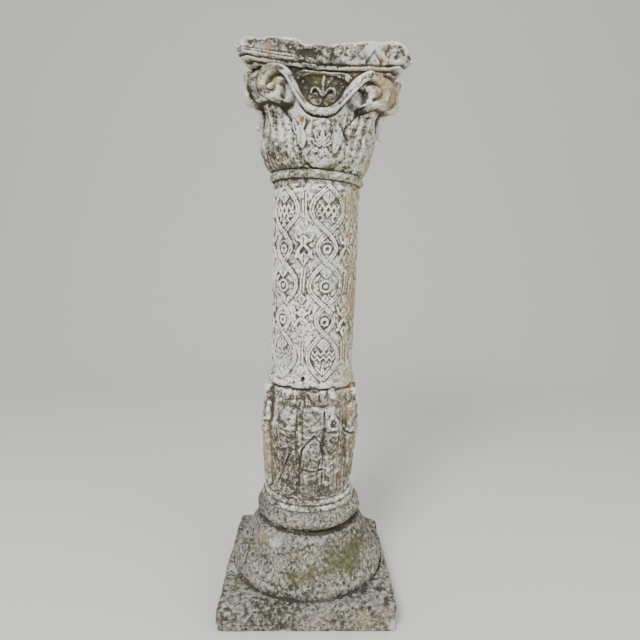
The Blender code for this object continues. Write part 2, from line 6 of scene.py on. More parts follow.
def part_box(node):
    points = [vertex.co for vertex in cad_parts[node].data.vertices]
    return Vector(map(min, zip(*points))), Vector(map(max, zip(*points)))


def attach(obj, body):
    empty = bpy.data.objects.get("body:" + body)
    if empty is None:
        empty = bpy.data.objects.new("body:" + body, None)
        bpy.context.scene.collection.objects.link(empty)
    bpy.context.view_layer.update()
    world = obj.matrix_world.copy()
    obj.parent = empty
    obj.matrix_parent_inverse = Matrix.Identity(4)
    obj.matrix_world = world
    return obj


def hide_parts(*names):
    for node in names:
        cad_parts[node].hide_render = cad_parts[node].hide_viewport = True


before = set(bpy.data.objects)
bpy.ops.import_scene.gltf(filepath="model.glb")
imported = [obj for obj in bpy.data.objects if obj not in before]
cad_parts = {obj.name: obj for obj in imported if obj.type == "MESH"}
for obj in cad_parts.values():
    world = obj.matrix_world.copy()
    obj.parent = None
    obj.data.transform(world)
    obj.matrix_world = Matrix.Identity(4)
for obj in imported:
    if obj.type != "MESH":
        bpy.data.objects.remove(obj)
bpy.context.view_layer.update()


# Base block: a square plinth under a broad sloping skirt with a rounded lip, and a torus over
# it, cut from one piece of limestone. It has stood outdoors for long: its edges are worn round,
# two corners are chipped, and algae and lichen have grown over the upper faces.

def scatter(cells, seed):
    """Numbers from 0 to 1 for whole-number cells: their coordinates are mixed by multiplying,
    shifting and exclusive-or, so that the same cell always gives the same number."""
    cells = cells.astype(np.uint64)
    mixed = (cells[..., 0] * np.uint64(73856093) ^ cells[..., 1] * np.uint64(19349663)
             ^ cells[..., 2] * np.uint64(83492791) ^ np.uint64(seed * 2654435761))
    mixed &= np.uint64(0xFFFFFFFF)
    for shift, factor in ((16, 0x45D9F3B), (15, 0x45D9F3B), (16, 1)):
        mixed = ((mixed >> np.uint64(shift)) ^ mixed) * np.uint64(factor) & np.uint64(0xFFFFFFFF)
    return mixed / 4294967295.0


twist = np.array([[0.36, 0.48, -0.80], [-0.80, 0.60, 0.0], [0.48, 0.64, 0.60]])


def noise(points, size, seed):
    """Smooth noise from -1 to 1: the numbers at the eight corners of the cube of this size that
    a point is in, weighted by a smooth step along each axis. The cubes stand askew, so that
    their faces don't show on upright surfaces."""
    place = points @ twist / size + 1000.0
    low = np.floor(place)
    part = place - low
    part = part * part * (3 - 2 * part)
    total = np.zeros(len(points))
    for corner in np.ndindex(2, 2, 2):
        weight = np.prod(np.where(np.array(corner) == 1, part, 1 - part), axis=1)
        total += weight * scatter(low + np.array(corner), seed)
    return 2 * total - 1


def layered(points, size, layers, seed):
    """Noise over several sizes, each half the last and a little over half as strong."""
    total = np.zeros(len(points))
    strength = 1.0
    for layer in range(layers):
        total += strength * noise(points, size / 2 ** layer, seed + layer)
        strength *= 0.55
    return total


def pits(points, spacing, reach, share, seed):
    """Round hollows from 0 to 1: each cube of the spacing holds one centre at most, and a hollow
    falls off with the distance to its centre, to nothing at its own reach."""
    place = points / spacing + 1000.0
    low = np.floor(place)
    depth = np.zeros(len(points))
    for step in np.ndindex(3, 3, 3):
        cell = low + np.array(step) - 1
        centre = cell + 0.15 + 0.7 * np.stack([scatter(cell, seed + axis) for axis in range(3)], 1)
        size = reach * (0.5 + 0.5 * scatter(cell, seed + 3)) / spacing
        away = np.linalg.norm(place - centre, axis=1) / size
        here = scatter(cell, seed + 4) < share
        depth = np.maximum(depth, np.where(here, np.clip(1 - away * away, 0, 1), 0))
    return depth


def smooth_step(low, high, values):
    """0 below the low value, 1 above the high one, and a soft S between them."""
    share = np.clip((values - low) / (high - low), 0, 1)
    return share * share * (3 - 2 * share)


def between(values, start, full, fading, end):
    """A soft window: 0 up to the start, 1 from full to fading, and 0 again from the end on."""
    return smooth_step(start, full, values) * smooth_step(end, fading, values)


def bell_curve(away, width):
    """1 in the middle, falling off on both sides by the bell curve of the distance."""
    return np.exp(-(away / width) ** 2)


def spot(points, centre, reach, softness=1.0):
    """1 within a part of the reach round a centre, and 0 outside the reach."""
    away = np.linalg.norm((points - np.array(centre)) / np.array(reach), axis=1)
    return 1 - smooth_step(1 - softness, 1, away)


def spots(points, places, softness=1.0):
    """The sum of several spots, each with its strength, its centre and its reach."""
    return sum(strength * spot(points, centre, reach, softness)
               for strength, centre, reach in places)


def angles_round(count, closer=0.3):
    """Azimuths once round, with the columns closer together at the front than at the back."""
    turn = np.linspace(-np.pi, np.pi, count, endpoint=False)
    return turn - closer * np.sin(turn)


def around(reach, turn, up):
    """Points by their distance from the axis, azimuth from the front and height."""
    return np.stack([reach * np.sin(turn), -reach * np.cos(turn), up], -1).reshape(-1, 3)


def closed_grid(rows, columns):
    """Quads between the rings of a grid that closes on itself sideways, and a fan at each end.
    Rows run from the bottom up, and the two middle points follow the rings."""
    row, column = np.meshgrid(np.arange(rows - 1), np.arange(columns), indexing="ij")
    after = (column + 1) % columns
    low, high = row * columns, (row + 1) * columns
    quads = np.stack([low + column, low + after, high + after, high + column], -1).reshape(-1, 4)
    ring = np.arange(columns)
    turned = (ring + 1) % columns
    bottom, top = rows * columns, rows * columns + 1
    last = (rows - 1) * columns
    floor_fan = np.stack([turned, ring, np.full(columns, bottom)], 1)
    top_fan = np.stack([last + ring, last + turned, np.full(columns, top)], 1)
    return quads.tolist() + floor_fan.tolist() + top_fan.tolist()


def per_point(grid):
    """The numbers of a closed grid's rings in a row, with a 0 for each of its middle points."""
    return np.append(grid.ravel(), [0, 0])


def vertex_normals(points, mesh):
    """Outward directions of the points, from the mesh that holds them."""
    mesh.vertices.foreach_set("co", points.ravel())
    mesh.update()
    normals = np.empty(len(points) * 3)
    mesh.vertices.foreach_get("normal", normals)
    return normals.reshape(-1, 3)


def add_piece(name, points, faces):
    """Adds an object with a smoothly shaded mesh of these points and faces."""
    mesh = bpy.data.meshes.new(name)
    mesh.from_pydata(points.tolist(), [], faces)
    mesh.validate()
    mesh.polygons.foreach_set("use_smooth", np.ones(len(mesh.polygons), bool))
    piece = bpy.data.objects.new(name, mesh)
    bpy.context.scene.collection.objects.link(piece)
    return piece


def paint(piece, name, values):
    """Stores a number from -1 to 1 a vertex, which the stone material reads by its name."""
    layer = piece.data.attributes.new(name, "FLOAT", "POINT")
    layer.data.foreach_set("value", np.clip(values, -1, 1).astype(np.float32))


def settle(grid, turns):
    """A grid averaged with its neighbours along both ways, so that what is left over after
    taking it away is the fine relief."""
    for _ in range(turns):
        grid = (grid + np.roll(grid, 1, 1) + np.roll(grid, -1, 1)) / 3
        grid[1:-1] = (grid[:-2] + grid[1:-1] + grid[2:]) / 3
    return grid


base_low, base_high = (np.array(corner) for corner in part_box("base"))
base_columns, flat_rings = 500, 12
half_side = (base_high[0] - base_low[0]) / 2
plinth_height = 0.052
edge_round, top_round = 0.006, 0.010
skirt_setback, skirt_lip, skirt_belly = 0.012, 0.012, 0.0012
skirt_tilt = np.radians(27.6)
upper_rise, upper_reach = 0.038, 0.1135
fillet, fillet_radius, ledge_radius, bed_radius = 0.004, 0.103, 0.112, 0.098
corner_power = 60


def arc(centre, width, height, start, end, count):
    """Radius and height along an ellipse, by the angle from its outer side up."""
    angle = np.radians(np.linspace(start, end, count))
    return np.stack([centre[0] + width * np.cos(angle), centre[1] + height * np.sin(angle)], 1)


def straight(start, end, count):
    """Evenly spaced points of a straight run, all but its last one."""
    return np.linspace(start, end, count, endpoint=False)


def swelling(start, end, belly, count):
    """A straight run that swells by a parabola's arch, most in its middle."""
    share = np.linspace(0, 1, count, endpoint=False)[:, None]
    start, end = np.array(start), np.array(end)
    outward = np.array([end[1] - start[1], start[0] - end[0]]) / np.linalg.norm(end - start)
    return start + (end - start) * share + belly * 4 * share * (1 - share) * outward


def base_rows():
    """Radius, height and squareness of each ring of the base, from the underside up."""
    inner = half_side - edge_round
    upper_low = base_high[2] - 0.002 - upper_rise
    upper_middle = upper_low + upper_rise / 2
    lip = (half_side - skirt_setback - skirt_lip, plinth_height + skirt_lip)
    square = np.concatenate([
        straight((0.03, 0.0), (inner, 0.0), 6),
        arc((inner, edge_round), edge_round, edge_round, -90, 0, 5),
        straight((half_side, edge_round * 1.1), (half_side, plinth_height - top_round), 19),
        arc((half_side - top_round, plinth_height - top_round), top_round, top_round, 0, 90, 6),
        straight((half_side - top_round - 0.002, plinth_height), (lip[0] + 0.0085, plinth_height),
                 flat_rings),
    ])
    foot = (lip[0] + skirt_lip * np.cos(skirt_tilt), lip[1] + skirt_lip * np.sin(skirt_tilt))
    round_part = np.concatenate([
        straight((lip[0] + 0.0085, plinth_height), (lip[0] + 0.0109, plinth_height + 0.0069), 8),
        arc(lip, skirt_lip, skirt_lip, -25, 22, 8),
        swelling(foot, (ledge_radius, upper_low - fillet), skirt_belly, 52),
        straight((ledge_radius, upper_low - fillet), (fillet_radius, upper_low - fillet), 4),
        straight((fillet_radius, upper_low - fillet), (fillet_radius, upper_low), 4),
        arc((upper_reach - upper_rise / 2, upper_middle), upper_rise / 2, upper_rise / 2,
            -84, 84, 34),
        straight((bed_radius, base_high[2] - 0.002), (bed_radius, base_high[2] - 0.0005), 2),
        straight((bed_radius - 0.001, base_high[2]), (0.02, base_high[2]), 5),
    ])
    squareness = np.concatenate([np.ones(len(square)), np.zeros(len(round_part))])
    # The flat of the plinth turns from square to round as it runs in under the skirt
    squareness[len(square) - flat_rings:len(square)] = np.linspace(1, 0, flat_rings) ** 0.7
    return np.concatenate([square, round_part]), squareness


def base_points():
    """Each ring's radius, in a square plan with worn corners or a round one, by its squareness:
    the square's radius is its half side over the norm of the direction by a high power."""
    rows, squareness = base_rows()
    turn = angles_round(base_columns)
    norm = np.abs(np.sin(turn)) ** corner_power + np.abs(np.cos(turn)) ** corner_power
    square = 1 / norm ** (1 / corner_power)
    radius = rows[:, :1] * (1 + squareness[:, None] * (square[None, :] - 1))
    rings = around(radius, turn, np.repeat(rows[:, 1:], base_columns, 1))
    return np.concatenate([rings, [[0, 0, base_low[2]], [0, 0, base_high[2]]]]), len(rows)


points, row_count = base_points()
base = add_piece("base", points, closed_grid(row_count, base_columns))
normals = vertex_normals(points, base.data)
on_plinth = smooth_step(plinth_height + 0.012, plinth_height, points[:, 2])

# Wear: broad unevenness, the grain of the stone and its pits, in metres along the normal
broad = 0.0022 * layered(points, 0.050, 2, 11)
coarse = 0.0011 * layered(points, 0.014, 2, 21)
grain = 0.0009 * layered(points, 0.006, 2, 31)
holes = (0.0022 * pits(points, 0.022, 0.0055, 0.45, 41)
         + 0.0012 * pits(points, 0.009, 0.003, 0.5, 51))
offset = broad + coarse + grain - holes
# Chips: a front corner and a nick in the lower edge, and bites out of the back and right edges
corner = half_side
offset -= spots(points, ((0.010, (-corner, -corner, 0.0), (0.022, 0.022, 0.016)),
                         (0.008, (-0.27 * corner, -corner, 0.0), (0.016, 0.020, 0.009)),
                         (0.012, (corner, corner, plinth_height), (0.040, 0.040, 0.030)),
                         (0.007, (corner, 0.62 * corner, plinth_height), (0.020, 0.026, 0.018)),
                         (0.006, (-corner, 0.86 * corner, plinth_height), (0.020, 0.030, 0.014)),
                         (0.004, (corner, -0.98 * corner, plinth_height * 0.3), (0.012, 0.030, 0.030)),
                         (0.003, (-corner, 0.2 * corner, plinth_height), (0.014, 0.040, 0.010))), 0.8)
# The surface stays inside the block's box, and its underside stays flat
offset = np.minimum(offset - 0.0022, 0.0) * smooth_step(0.0, 0.003, points[:, 2])
offset *= smooth_step(base_high[2], base_high[2] - 0.003, points[:, 2])
worn = points + normals * offset[:, None]
# A notch in the lower front edge
worn[:, 2] += 0.006 * spot(points, (-0.047, -corner, 0.0), (0.010, 0.014, 0.012))
worn[:, 2] = np.clip(worn[:, 2], base_low[2], base_high[2])
base.data.vertices.foreach_set("co", worn.ravel())
base.data.update()

# Paint: painted shade in the small hollows, on the plinth under the skirt's lip and under the
# torus, and what the weather left: algae on the upper faces, pale lime crust, rust-brown pits
fine = (coarse + grain - holes)[:-2].reshape(row_count, base_columns)
hollow = per_point(settle(fine, 6) - fine)
high, outward = points[:, 2], np.hypot(points[:, 0], points[:, 1])
# Painted shade: a thin dark line on the plinth under the skirt's lip, and two under the torus in the
# fillet
lip_shadow_line = (smooth_step(plinth_height + 0.004, plinth_height, high)
             * between(outward, 0.138, 0.150, 0.1610, 0.1635))
torus_shadow_lines = (bell_curve(high - 0.1565, 0.0020) * smooth_step(0.1065, 0.1045, outward)
                + bell_curve(high - 0.163, 0.0025) * smooth_step(0.107, 0.1045, outward))
rust = np.maximum.reduce([
    spot(points, (x, -corner + 0.002, z), (reach, 0.02, reach), 0.6)
    for x, z, reach in ((-0.087, 0.040, 0.0035), (-0.068, 0.040, 0.004), (-0.056, 0.038, 0.003),
                        (-0.021, 0.048, 0.003), (0.070, 0.043, 0.0035), (0.094, 0.043, 0.004),
                        (0.097, 0.008, 0.004), (0.168, 0.040, 0.004))])
pocks = np.maximum.reduce([
    spot(points, (x, -corner + 0.002, z), (0.0035, 0.02, 0.0035), 0.7)
    for x, z in ((-0.012, 0.026), (0.002, 0.032), (-0.150, 0.018), (0.052, 0.020), (0.128, 0.030))])
# Painted shade in the small hollows, on the lines under the lip and the torus, and in the rust pits
# and dark pocks of the plinth's front
paint(base, "hollow", 0.6 * hollow / 0.0014 + 0.9 * lip_shadow_line + 0.9 * torus_shadow_lines + 0.5 * rust
      + 0.9 * pocks)
# Tone: a little lower, more so on the plinth, with painted light and shade: lighter on what stands
# out, darker in the hollows
paint(base, "tone_and_relief_shade", -0.20 - 0.10 * on_plinth - 0.8 * hollow / 0.0014)
upward = smooth_step(0.0, 0.8, normals[:, 2])
left, right = smooth_step(0.02, -0.14, points[:, 0]), smooth_step(0.0, 0.15, points[:, 0])
round_part = smooth_step(plinth_height, plinth_height + 0.006, high)
growth = 0.45 * layered(points, 0.050, 2, 61) + 0.10
paint(base, "algae", growth + round_part * (0.05 + 0.25 * right * upward) - 0.35 * on_plinth * left
      + spots(points, ((0.70, (-0.012, -0.150, 0.092), (0.055, 0.05, 0.028)),
                       (0.65, (0.082, -0.110, 0.112), (0.070, 0.08, 0.056)))))
paint(base, "pale", 0.05 + 0.35 * layered(points, 0.045, 2, 71)
      + spots(points, ((0.60, (-0.140, -0.06, plinth_height), (0.07, 0.14, 0.03)),
                       (0.45, (-0.079, -0.097, 0.138), (0.040, 0.04, 0.018)),
                       (0.50, (0.036, -0.112, 0.146), (0.060, 0.03, 0.015)),
                       (0.90, (-corner, -corner, 0.008), (0.034, 0.03, 0.028)),
                       (0.70, (corner, -corner, 0.010), (0.034, 0.03, 0.026)))))
paint(base, "warm", (1 - round_part) * (0.12 + 0.30 * right) * smooth_step(0.052, 0.030, high)
      + 0.35 * spot(points, (-0.108, -0.072, 0.122), (0.050, 0.06, 0.040)))
orange = spot(points, (-0.022, -0.107, 0.172), (0.008, 0.012, 0.007), 0.5)
paint(base, "lichen", np.maximum(0.62 * rust, 0.80 * orange))


def linear(code):
    """The linear colour of an sRGB hex value."""
    parts = [int(code[i:i + 2], 16) / 255 for i in (0, 2, 4)]
    return tuple(c / 12.92 if c <= 0.04045 else ((c + 0.055) / 1.055) ** 2.4 for c in parts) + (1,)


def node(tree, kind, settings=(), inputs=()):
    """Adds a node, sets its properties, and fills or links its inputs."""
    item = tree.nodes.new(kind)
    for name, value in dict(settings).items():
        setattr(item, name, value)
    for name, value in dict(inputs).items():
        if isinstance(value, bpy.types.NodeSocket):
            tree.links.new(value, item.inputs[name])
        else:
            item.inputs[name].default_value = value
    return item


def laid_over(tree, colour, value, low, high, most, code):
    """A colour laid over another where a value is high: its share goes from none at the low
    value to the most at the high one, by a smooth step."""
    share = node(tree, "ShaderNodeMapRange", {"interpolation_type": "SMOOTHSTEP"},
                 {"Value": value, "From Min": low, "From Max": high, "To Max": most}).outputs[0]
    return node(tree, "ShaderNodeMix", {"data_type": "RGBA"},
                {0: share, 6: colour, 7: linear(code)}).outputs[2]


def summed(tree, *terms):
    """The sum of values, each multiplied by its own share."""
    total = 0.0
    for value, share in terms:
        total = node(tree, "ShaderNodeMath", {"operation": "MULTIPLY_ADD"},
                     {0: value, 1: share, 2: total}).outputs[0]
    return total


def weathered_limestone(name, light, middle, shade, growth, mottling=5.0):
    """Limestone, long weathered: raised faces are painted paler and hollows painted darker, as
    painted light and shade, algae gather a little more in the hollows, and the surface is open,
    gritty and dull. It takes its pale, middle and dark colours, the dark one also the painted
    shade of the hollows, its algae's colour and the size of its mottling in millimetres."""
    material = bpy.data.materials.new(name)
    material.use_nodes = True
    tree = material.node_tree
    shader = tree.nodes["Principled BSDF"]
    place = node(tree, "ShaderNodeTexCoord").outputs["Object"]
    layer = {key: node(tree, "ShaderNodeAttribute", {"attribute_name": key}).outputs["Fac"]
             for key in ("hollow", "tone_and_relief_shade", "algae", "pale", "warm", "lichen")}
    # Blotches 40 mm across, mottling, grit at 2 mm and tufts at 4 mm make the light and dark of
    # it. One blotch is about the period of its noise over 2.2.
    blotches, mottle, grit, tufts = (
        node(tree, "ShaderNodeTexNoise", {},
             {"Vector": place, "Scale": 1000.0 / (2.2 * size), "Detail": detail,
              "Roughness": roughness}).outputs["Fac"]
        for size, detail, roughness in ((40.0, 5.0, 0.65), (mottling, 4.0, 0.7), (1.8, 2.0, 0.7),
                                        (4.0, 6.0, 0.8)))
    # The tone takes painted light and shade from the carving's attributes: lighter on what stands out,
    # darker in the hollows
    tone = summed(tree, (blotches, 0.65), (mottle, 1.0), (grit, 0.65), (layer["tone_and_relief_shade"], 0.25),
                  (layer["hollow"], -0.25))
    colour = laid_over(tree, linear(shade), tone, 0.92, 1.10, 1.0, middle)
    colour = laid_over(tree, colour, tone, 1.10, 1.28, 1.0, light)
    # Faint stains 25 mm across: lilac grey, straw and a cool lime white
    stains = node(tree, "ShaderNodeTexNoise", {},
                  {"Vector": place, "Scale": 1000.0 / 55.0, "Detail": 6.0, "Roughness": 0.7})
    stain = node(tree, "ShaderNodeSeparateColor", {}, {"Color": stains.outputs["Color"]})
    colour = laid_over(tree, colour, stain.outputs[0], 0.52, 0.66, 0.45, "998E90")
    straw = summed(tree, (stain.outputs[1], 1.0), (layer["warm"], 0.30))
    colour = laid_over(tree, colour, straw, 0.52, 0.80, 0.65, "B29F7C")
    # Lime crust and algae break up into 4 mm tufts at their rims
    crust = summed(tree, (layer["pale"], 0.75), (stain.outputs[2], 0.45), (tufts, 0.85))
    colour = laid_over(tree, colour, crust, 0.92, 1.18, 0.72, "CDD2CE")
    moss = summed(tree, (layer["algae"], 0.75), (blotches, -0.25), (tufts, 0.85),
                  (layer["hollow"], 0.10))
    colour = laid_over(tree, colour, moss, 0.62, 0.92, 0.80, growth)
    # White lichen specks and then dark pits, 2 to 4 mm across
    specks = node(tree, "ShaderNodeTexVoronoi", {}, {"Vector": place, "Scale": 1000.0 / 6.0})
    hue = node(tree, "ShaderNodeSeparateColor", {}, {"Color": specks.outputs["Color"]})
    away = summed(tree, (specks.outputs["Distance"], 1.0), (grit, 0.5))
    dot = node(tree, "ShaderNodeMapRange", {"interpolation_type": "SMOOTHSTEP"},
               {"Value": away, "From Min": 0.62, "From Max": 0.44}).outputs[0]
    for channel, low, high, most, tint in ((0, 0.80, 0.96, 0.7, "DDDBD2"),
                                           (1, 0.70, 0.95, 0.8, "453F35")):
        chosen = node(tree, "ShaderNodeMapRange", {"interpolation_type": "SMOOTHSTEP"},
                      {"Value": hue.outputs[channel], "From Min": low, "From Max": high,
                       "To Max": most}).outputs[0]
        pitted = node(tree, "ShaderNodeMath", {"operation": "MULTIPLY"},
                      {0: dot, 1: chosen}).outputs[0]
        colour = node(tree, "ShaderNodeMix", {"data_type": "RGBA"},
                      {0: pitted, 6: colour, 7: linear(tint)}).outputs[2]
    # Painted shade: the hollows are darkened towards the dark colour, broken up by the mottling
    hollow = summed(tree, (layer["hollow"], 1.0), (mottle, 0.5))
    colour = laid_over(tree, colour, hollow, 0.50, 1.35, 0.80, shade)
    rust = summed(tree, (layer["lichen"], 1.0), (tufts, 0.8))
    colour = laid_over(tree, colour, rust, 0.75, 1.1, 0.9, "7C5A1A")
    tree.links.new(colour, shader.inputs["Base Color"])
    shader.inputs["Roughness"].default_value = 0.92
    shader.inputs["IOR"].default_value = 1.5
    shader.inputs["Specular IOR Level"].default_value = 0.25
    # Relief too fine for the mesh: the mottling stands out and the pits go in
    height = summed(tree, (mottle, 1.0), (grit, 0.6), (pitted, -0.9))
    bump = node(tree, "ShaderNodeBump", {},
                {"Strength": 1.0, "Distance": 0.0022, "Height": height})
    tree.links.new(bump.outputs["Normal"], shader.inputs["Normal"])
    return material


base.data.materials.append(weathered_limestone("weathered limestone of the base", "AEACA0",
                                               "7C7A6F", "45423A", "56532F", 3.2))
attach(base, "root")
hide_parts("base")


# Shaft block: a drum with a ring of robed figures, a plain ring over it, and a shaft under six
# columns of interlaced double strands with rosettes and leaves, all carved from one piece of
# limestone. The carving is crisp at the upper left, worn at the lower left and the right.

shaft_lean = np.radians(0.95)
shaft_foot = np.array([-0.0015, 0.0, 0.200])
foot_height, drum_height, ring_height, knot_height = 0.022, 0.227, 0.017, 0.379
ring_low = foot_height + drum_height
knot_low = ring_low + ring_height
shaft_height = knot_low + knot_height
shaft_columns, shaft_rings = 276, 360
knot_radius, figure_radius, ring_radius = 0.0842, 0.097, 0.0868
loop_levels = knot_low + knot_height * np.cumsum((0.0, 0.247, 0.137, 0.227, 0.149, 0.235))
loop_levels[-1] = shaft_height - 0.003
large_half, small_half = 0.032, 0.0175
strand_half, strand_rise, fill_rise = 0.0047, 0.0034, 0.0030
column_gap = 2 * np.pi * 0.0865 / 6
first_column = np.radians(14.5)


def ridge(away, half_width):
    """A round ridge: 1 on its line and 0 from its half width on, by one minus the square."""
    return np.clip(1 - (away / half_width) ** 2, 0, 1)


def near_line(across, up, line):
    """Distance of each point to a broken line, and how far along it the nearest point is."""
    line = np.array(line, float)
    best = np.full(across.shape, 1e9)
    along = np.zeros(across.shape)
    for number, (start, end) in enumerate(zip(line[:-1], line[1:])):
        run = end - start
        share = ((across - start[0]) * run[0] + (up - start[1]) * run[1]) / (run @ run)
        share = np.clip(share, 0, 1)
        away = np.hypot(across - start[0] - share * run[0], up - start[1] - share * run[1])
        along = np.where(away < best, number + share, along)
        best = np.minimum(best, away)
    return best, along / (len(line) - 1)


def band(away, half_width):
    """A flat-topped band: 1 over the inner part of its half width, and 0 outside it."""
    return 1 - smooth_step(0.6 * half_width, half_width, away)


def rib(across, up, line, half_width):
    """A flat-topped band along a broken line."""
    return band(near_line(across, up, line)[0], half_width)


def leaf(across, up, foot, tip, half_width):
    """A pointed leaf from its foot to its tip, as wide at each place as a sine of the way along,
    with a vein down the middle."""
    run = np.subtract(tip, foot)
    length = np.hypot(*run)
    along = ((across - foot[0]) * run[0] + (up - foot[1]) * run[1]) / length ** 2
    away = np.abs((across - foot[0]) * run[1] - (up - foot[1]) * run[0]) / length
    wide = half_width * np.sin(np.pi * np.clip(along, 0, 1) ** 0.8)
    return smooth_step(0, 0.0014, wide - away) * (1 - 0.5 * bell_curve(away, 0.0009))


def strand_pair(across, up):
    """Height of the two strands of a column. Each swings out by a half sine in every loop and
    changes side at the crossings, where one dips under the other."""
    sides = []
    for side in (-1, 1):
        middle = np.zeros(up.shape)
        slope = np.zeros(up.shape)
        dip = np.zeros(up.shape)
        for number, (low, high) in enumerate(zip(loop_levels[:-1], loop_levels[1:])):
            large = number % 2 == 0
            swing = (large_half if large else -small_half) * side
            inside = (up >= low) & (up < high)
            share = np.clip((up - low) / (high - low), 0, 1)
            middle = np.where(inside, swing * np.sin(np.pi * share), middle)
            slope = np.where(inside, swing * np.pi / (high - low) * np.cos(np.pi * share), slope)
            under = low if (number + (side > 0)) % 2 else high
            dip += bell_curve(up - under, 0.006)
        away = np.abs(across - middle) / np.sqrt(1 + slope ** 2)
        ribbon = 1 - smooth_step(0.72 * strand_half, strand_half, away)
        groove = 0.45 * bell_curve(away, 0.0011)
        sides.append((ribbon * (1 - groove) - 0.55 * ribbon * np.clip(dip, 0, 1), away))
    return np.maximum(sides[0][0], sides[1][0]), np.minimum(sides[0][1], sides[1][1])


def square_ring(across, up, radius, half_width, power=3.0):
    """A ring with its corners squared: a band along one radius by the power's norm."""
    away = (np.abs(across) ** power + np.abs(up) ** power) ** (1 / power)
    return band(np.abs(away - radius), half_width)


def fan(across, up, foot, reach, count, spread, half_width):
    """Leaf fingers that start together at a foot and spread upwards, the outer ones shorter."""
    total = np.zeros(across.shape)
    for angle in np.radians(np.linspace(-spread, spread, count)):
        length = reach * (1 - 0.3 * (angle / np.radians(spread + 1)) ** 2)
        tip = (length * np.sin(angle) * 1.1, foot + length * np.cos(angle))
        total = np.maximum(total, leaf(across, up, (0, foot), tip, half_width))
    return total


def zigzag(across, up, level, half_span, rise, turns, half_width):
    """A band that goes up and down between two levels, the same on both sides of the middle."""
    across = np.abs(across)
    place = across / half_span * turns
    wave = np.abs(place - 2 * np.floor(place / 2) - 1)
    away = np.abs(up - level - rise * (wave - 0.5)) / np.hypot(1, rise * turns / half_span)
    return band(away, half_width) * (across < half_span)


def knotwork(across, up):
    """Relief of one column, from 0 to 1: its strands, and what fills its loops and the gaps
    beside it."""
    strands, beside = strand_pair(across, up)
    low, high = loop_levels[:-1], loop_levels[1:]
    middle = (low + high) / 2
    mirrored = np.abs(across)
    # Foot loop: a hanging leaf over two zigzags and a palmette that flares up
    shapes = [leaf(across, up, (0, high[0] - 0.008), (0, high[0] - 0.038), 0.015),
              zigzag(across, up, middle[0] + 0.006, 0.024, 0.007, 4, 0.0024),
              zigzag(across, up, middle[0] - 0.003, 0.025, 0.007, 4, 0.0024),
              fan(across, up, low[0] + 0.005, 0.032, 5, 64, 0.0042)]
    # Middle loop: a hanging leaf over a ring with a boss, between side leaves, and a bud
    shapes += [leaf(across, up, (0, high[2] - 0.008), (0, high[2] - 0.032), 0.013),
               square_ring(across, up - middle[2] + 0.003, 0.0105, 0.0026, 2),
               band(np.hypot(across, up - middle[2] + 0.003), 0.0055),
               leaf(mirrored, up, (0.026, middle[2] + 0.004), (0.011, middle[2] + 0.018), 0.0042),
               leaf(mirrored, up, (0.026, middle[2] - 0.008), (0.009, middle[2] - 0.022), 0.0042),
               leaf(across, up, (0, low[2] + 0.006), (0, low[2] + 0.026), 0.008)]
    # Top loop: a broad hanging leaf, a plaited knot under it, and curls over a hollow and a bud
    shapes += [leaf(across, up, (0, high[4] - 0.006), (0, high[4] - 0.035), 0.014),
               zigzag(across, up, middle[4] + 0.003, 0.023, 0.010, 4, 0.0026),
               zigzag(across, up, middle[4] - 0.007, 0.024, -0.010, 4, 0.0026),
               square_ring(mirrored - 0.015, up - middle[4] + 0.017, 0.0058, 0.0022, 2),
               leaf(across, up, (0, low[4] + 0.006), (0, low[4] + 0.020), 0.007)]
    # Small loops: a squarish ring with a dark dot, under an arch
    for number in (1, 3):
        away = up - middle[number]
        arch = square_ring(across, away, 0.0118, 0.0015, 2) * (away > 0.002)
        shapes += [arch, square_ring(across, away + 0.003, 0.0058, 0.0028)]
    # Gaps beside the column, as seen from the middle between two columns: leaves like an M beside
    # the small loops, and a grooved stem with a pointed end beside the large ones
    aside = column_gap / 2 - mirrored
    for number in (1, 3):
        level = middle[number]
        shapes += [leaf(aside, up, (0, level + 0.024), (0, level - 0.002), 0.009),
                   rib(aside, up, [(0.002, level + 0.002), (0.010, level - 0.005),
                                   (0.017, level - 0.019)], 0.0036),
                   rib(aside, up, [(0.004, level + 0.011), (0.013, level + 0.013),
                                   (0.018, level + 0.024)], 0.0032),
                   leaf(aside, up, (0, level - 0.010), (0, level - 0.036), 0.010),
                   leaf(aside, up, (0.017, level - 0.004), (0.006, level - 0.026), 0.0045)]
    for number in (0, 2, 4):
        level = middle[number]
        shapes += [band(np.abs(aside - 0.0028), 0.0023) * band(np.abs(up - level - 0.008), 0.026),
                   leaf(aside, up, (0, level - 0.018), (0, level - 0.040), 0.008)]
    fill = np.maximum.reduce(shapes)
    clear = smooth_step(1.05 * strand_half, 1.35 * strand_half, beside)
    return strands, fill * clear


def limb(across, up, line, start, end, height):
    """A rounded limb along a broken line: its half width runs from the start's to the end's, and
    its height is that of an ellipse across it."""
    away, along = near_line(across, up, line)
    half = start + (end - start) * along
    return height * np.sqrt(ridge(away, half))


def gathered(phase):
    """Round folds with narrow creases between them, one a turn of the phase: the root of the
    size of the half phase's sine, moved to run from -1 to a half."""
    return 1.5 * np.sqrt(np.abs(np.sin(phase / 2))) - 1


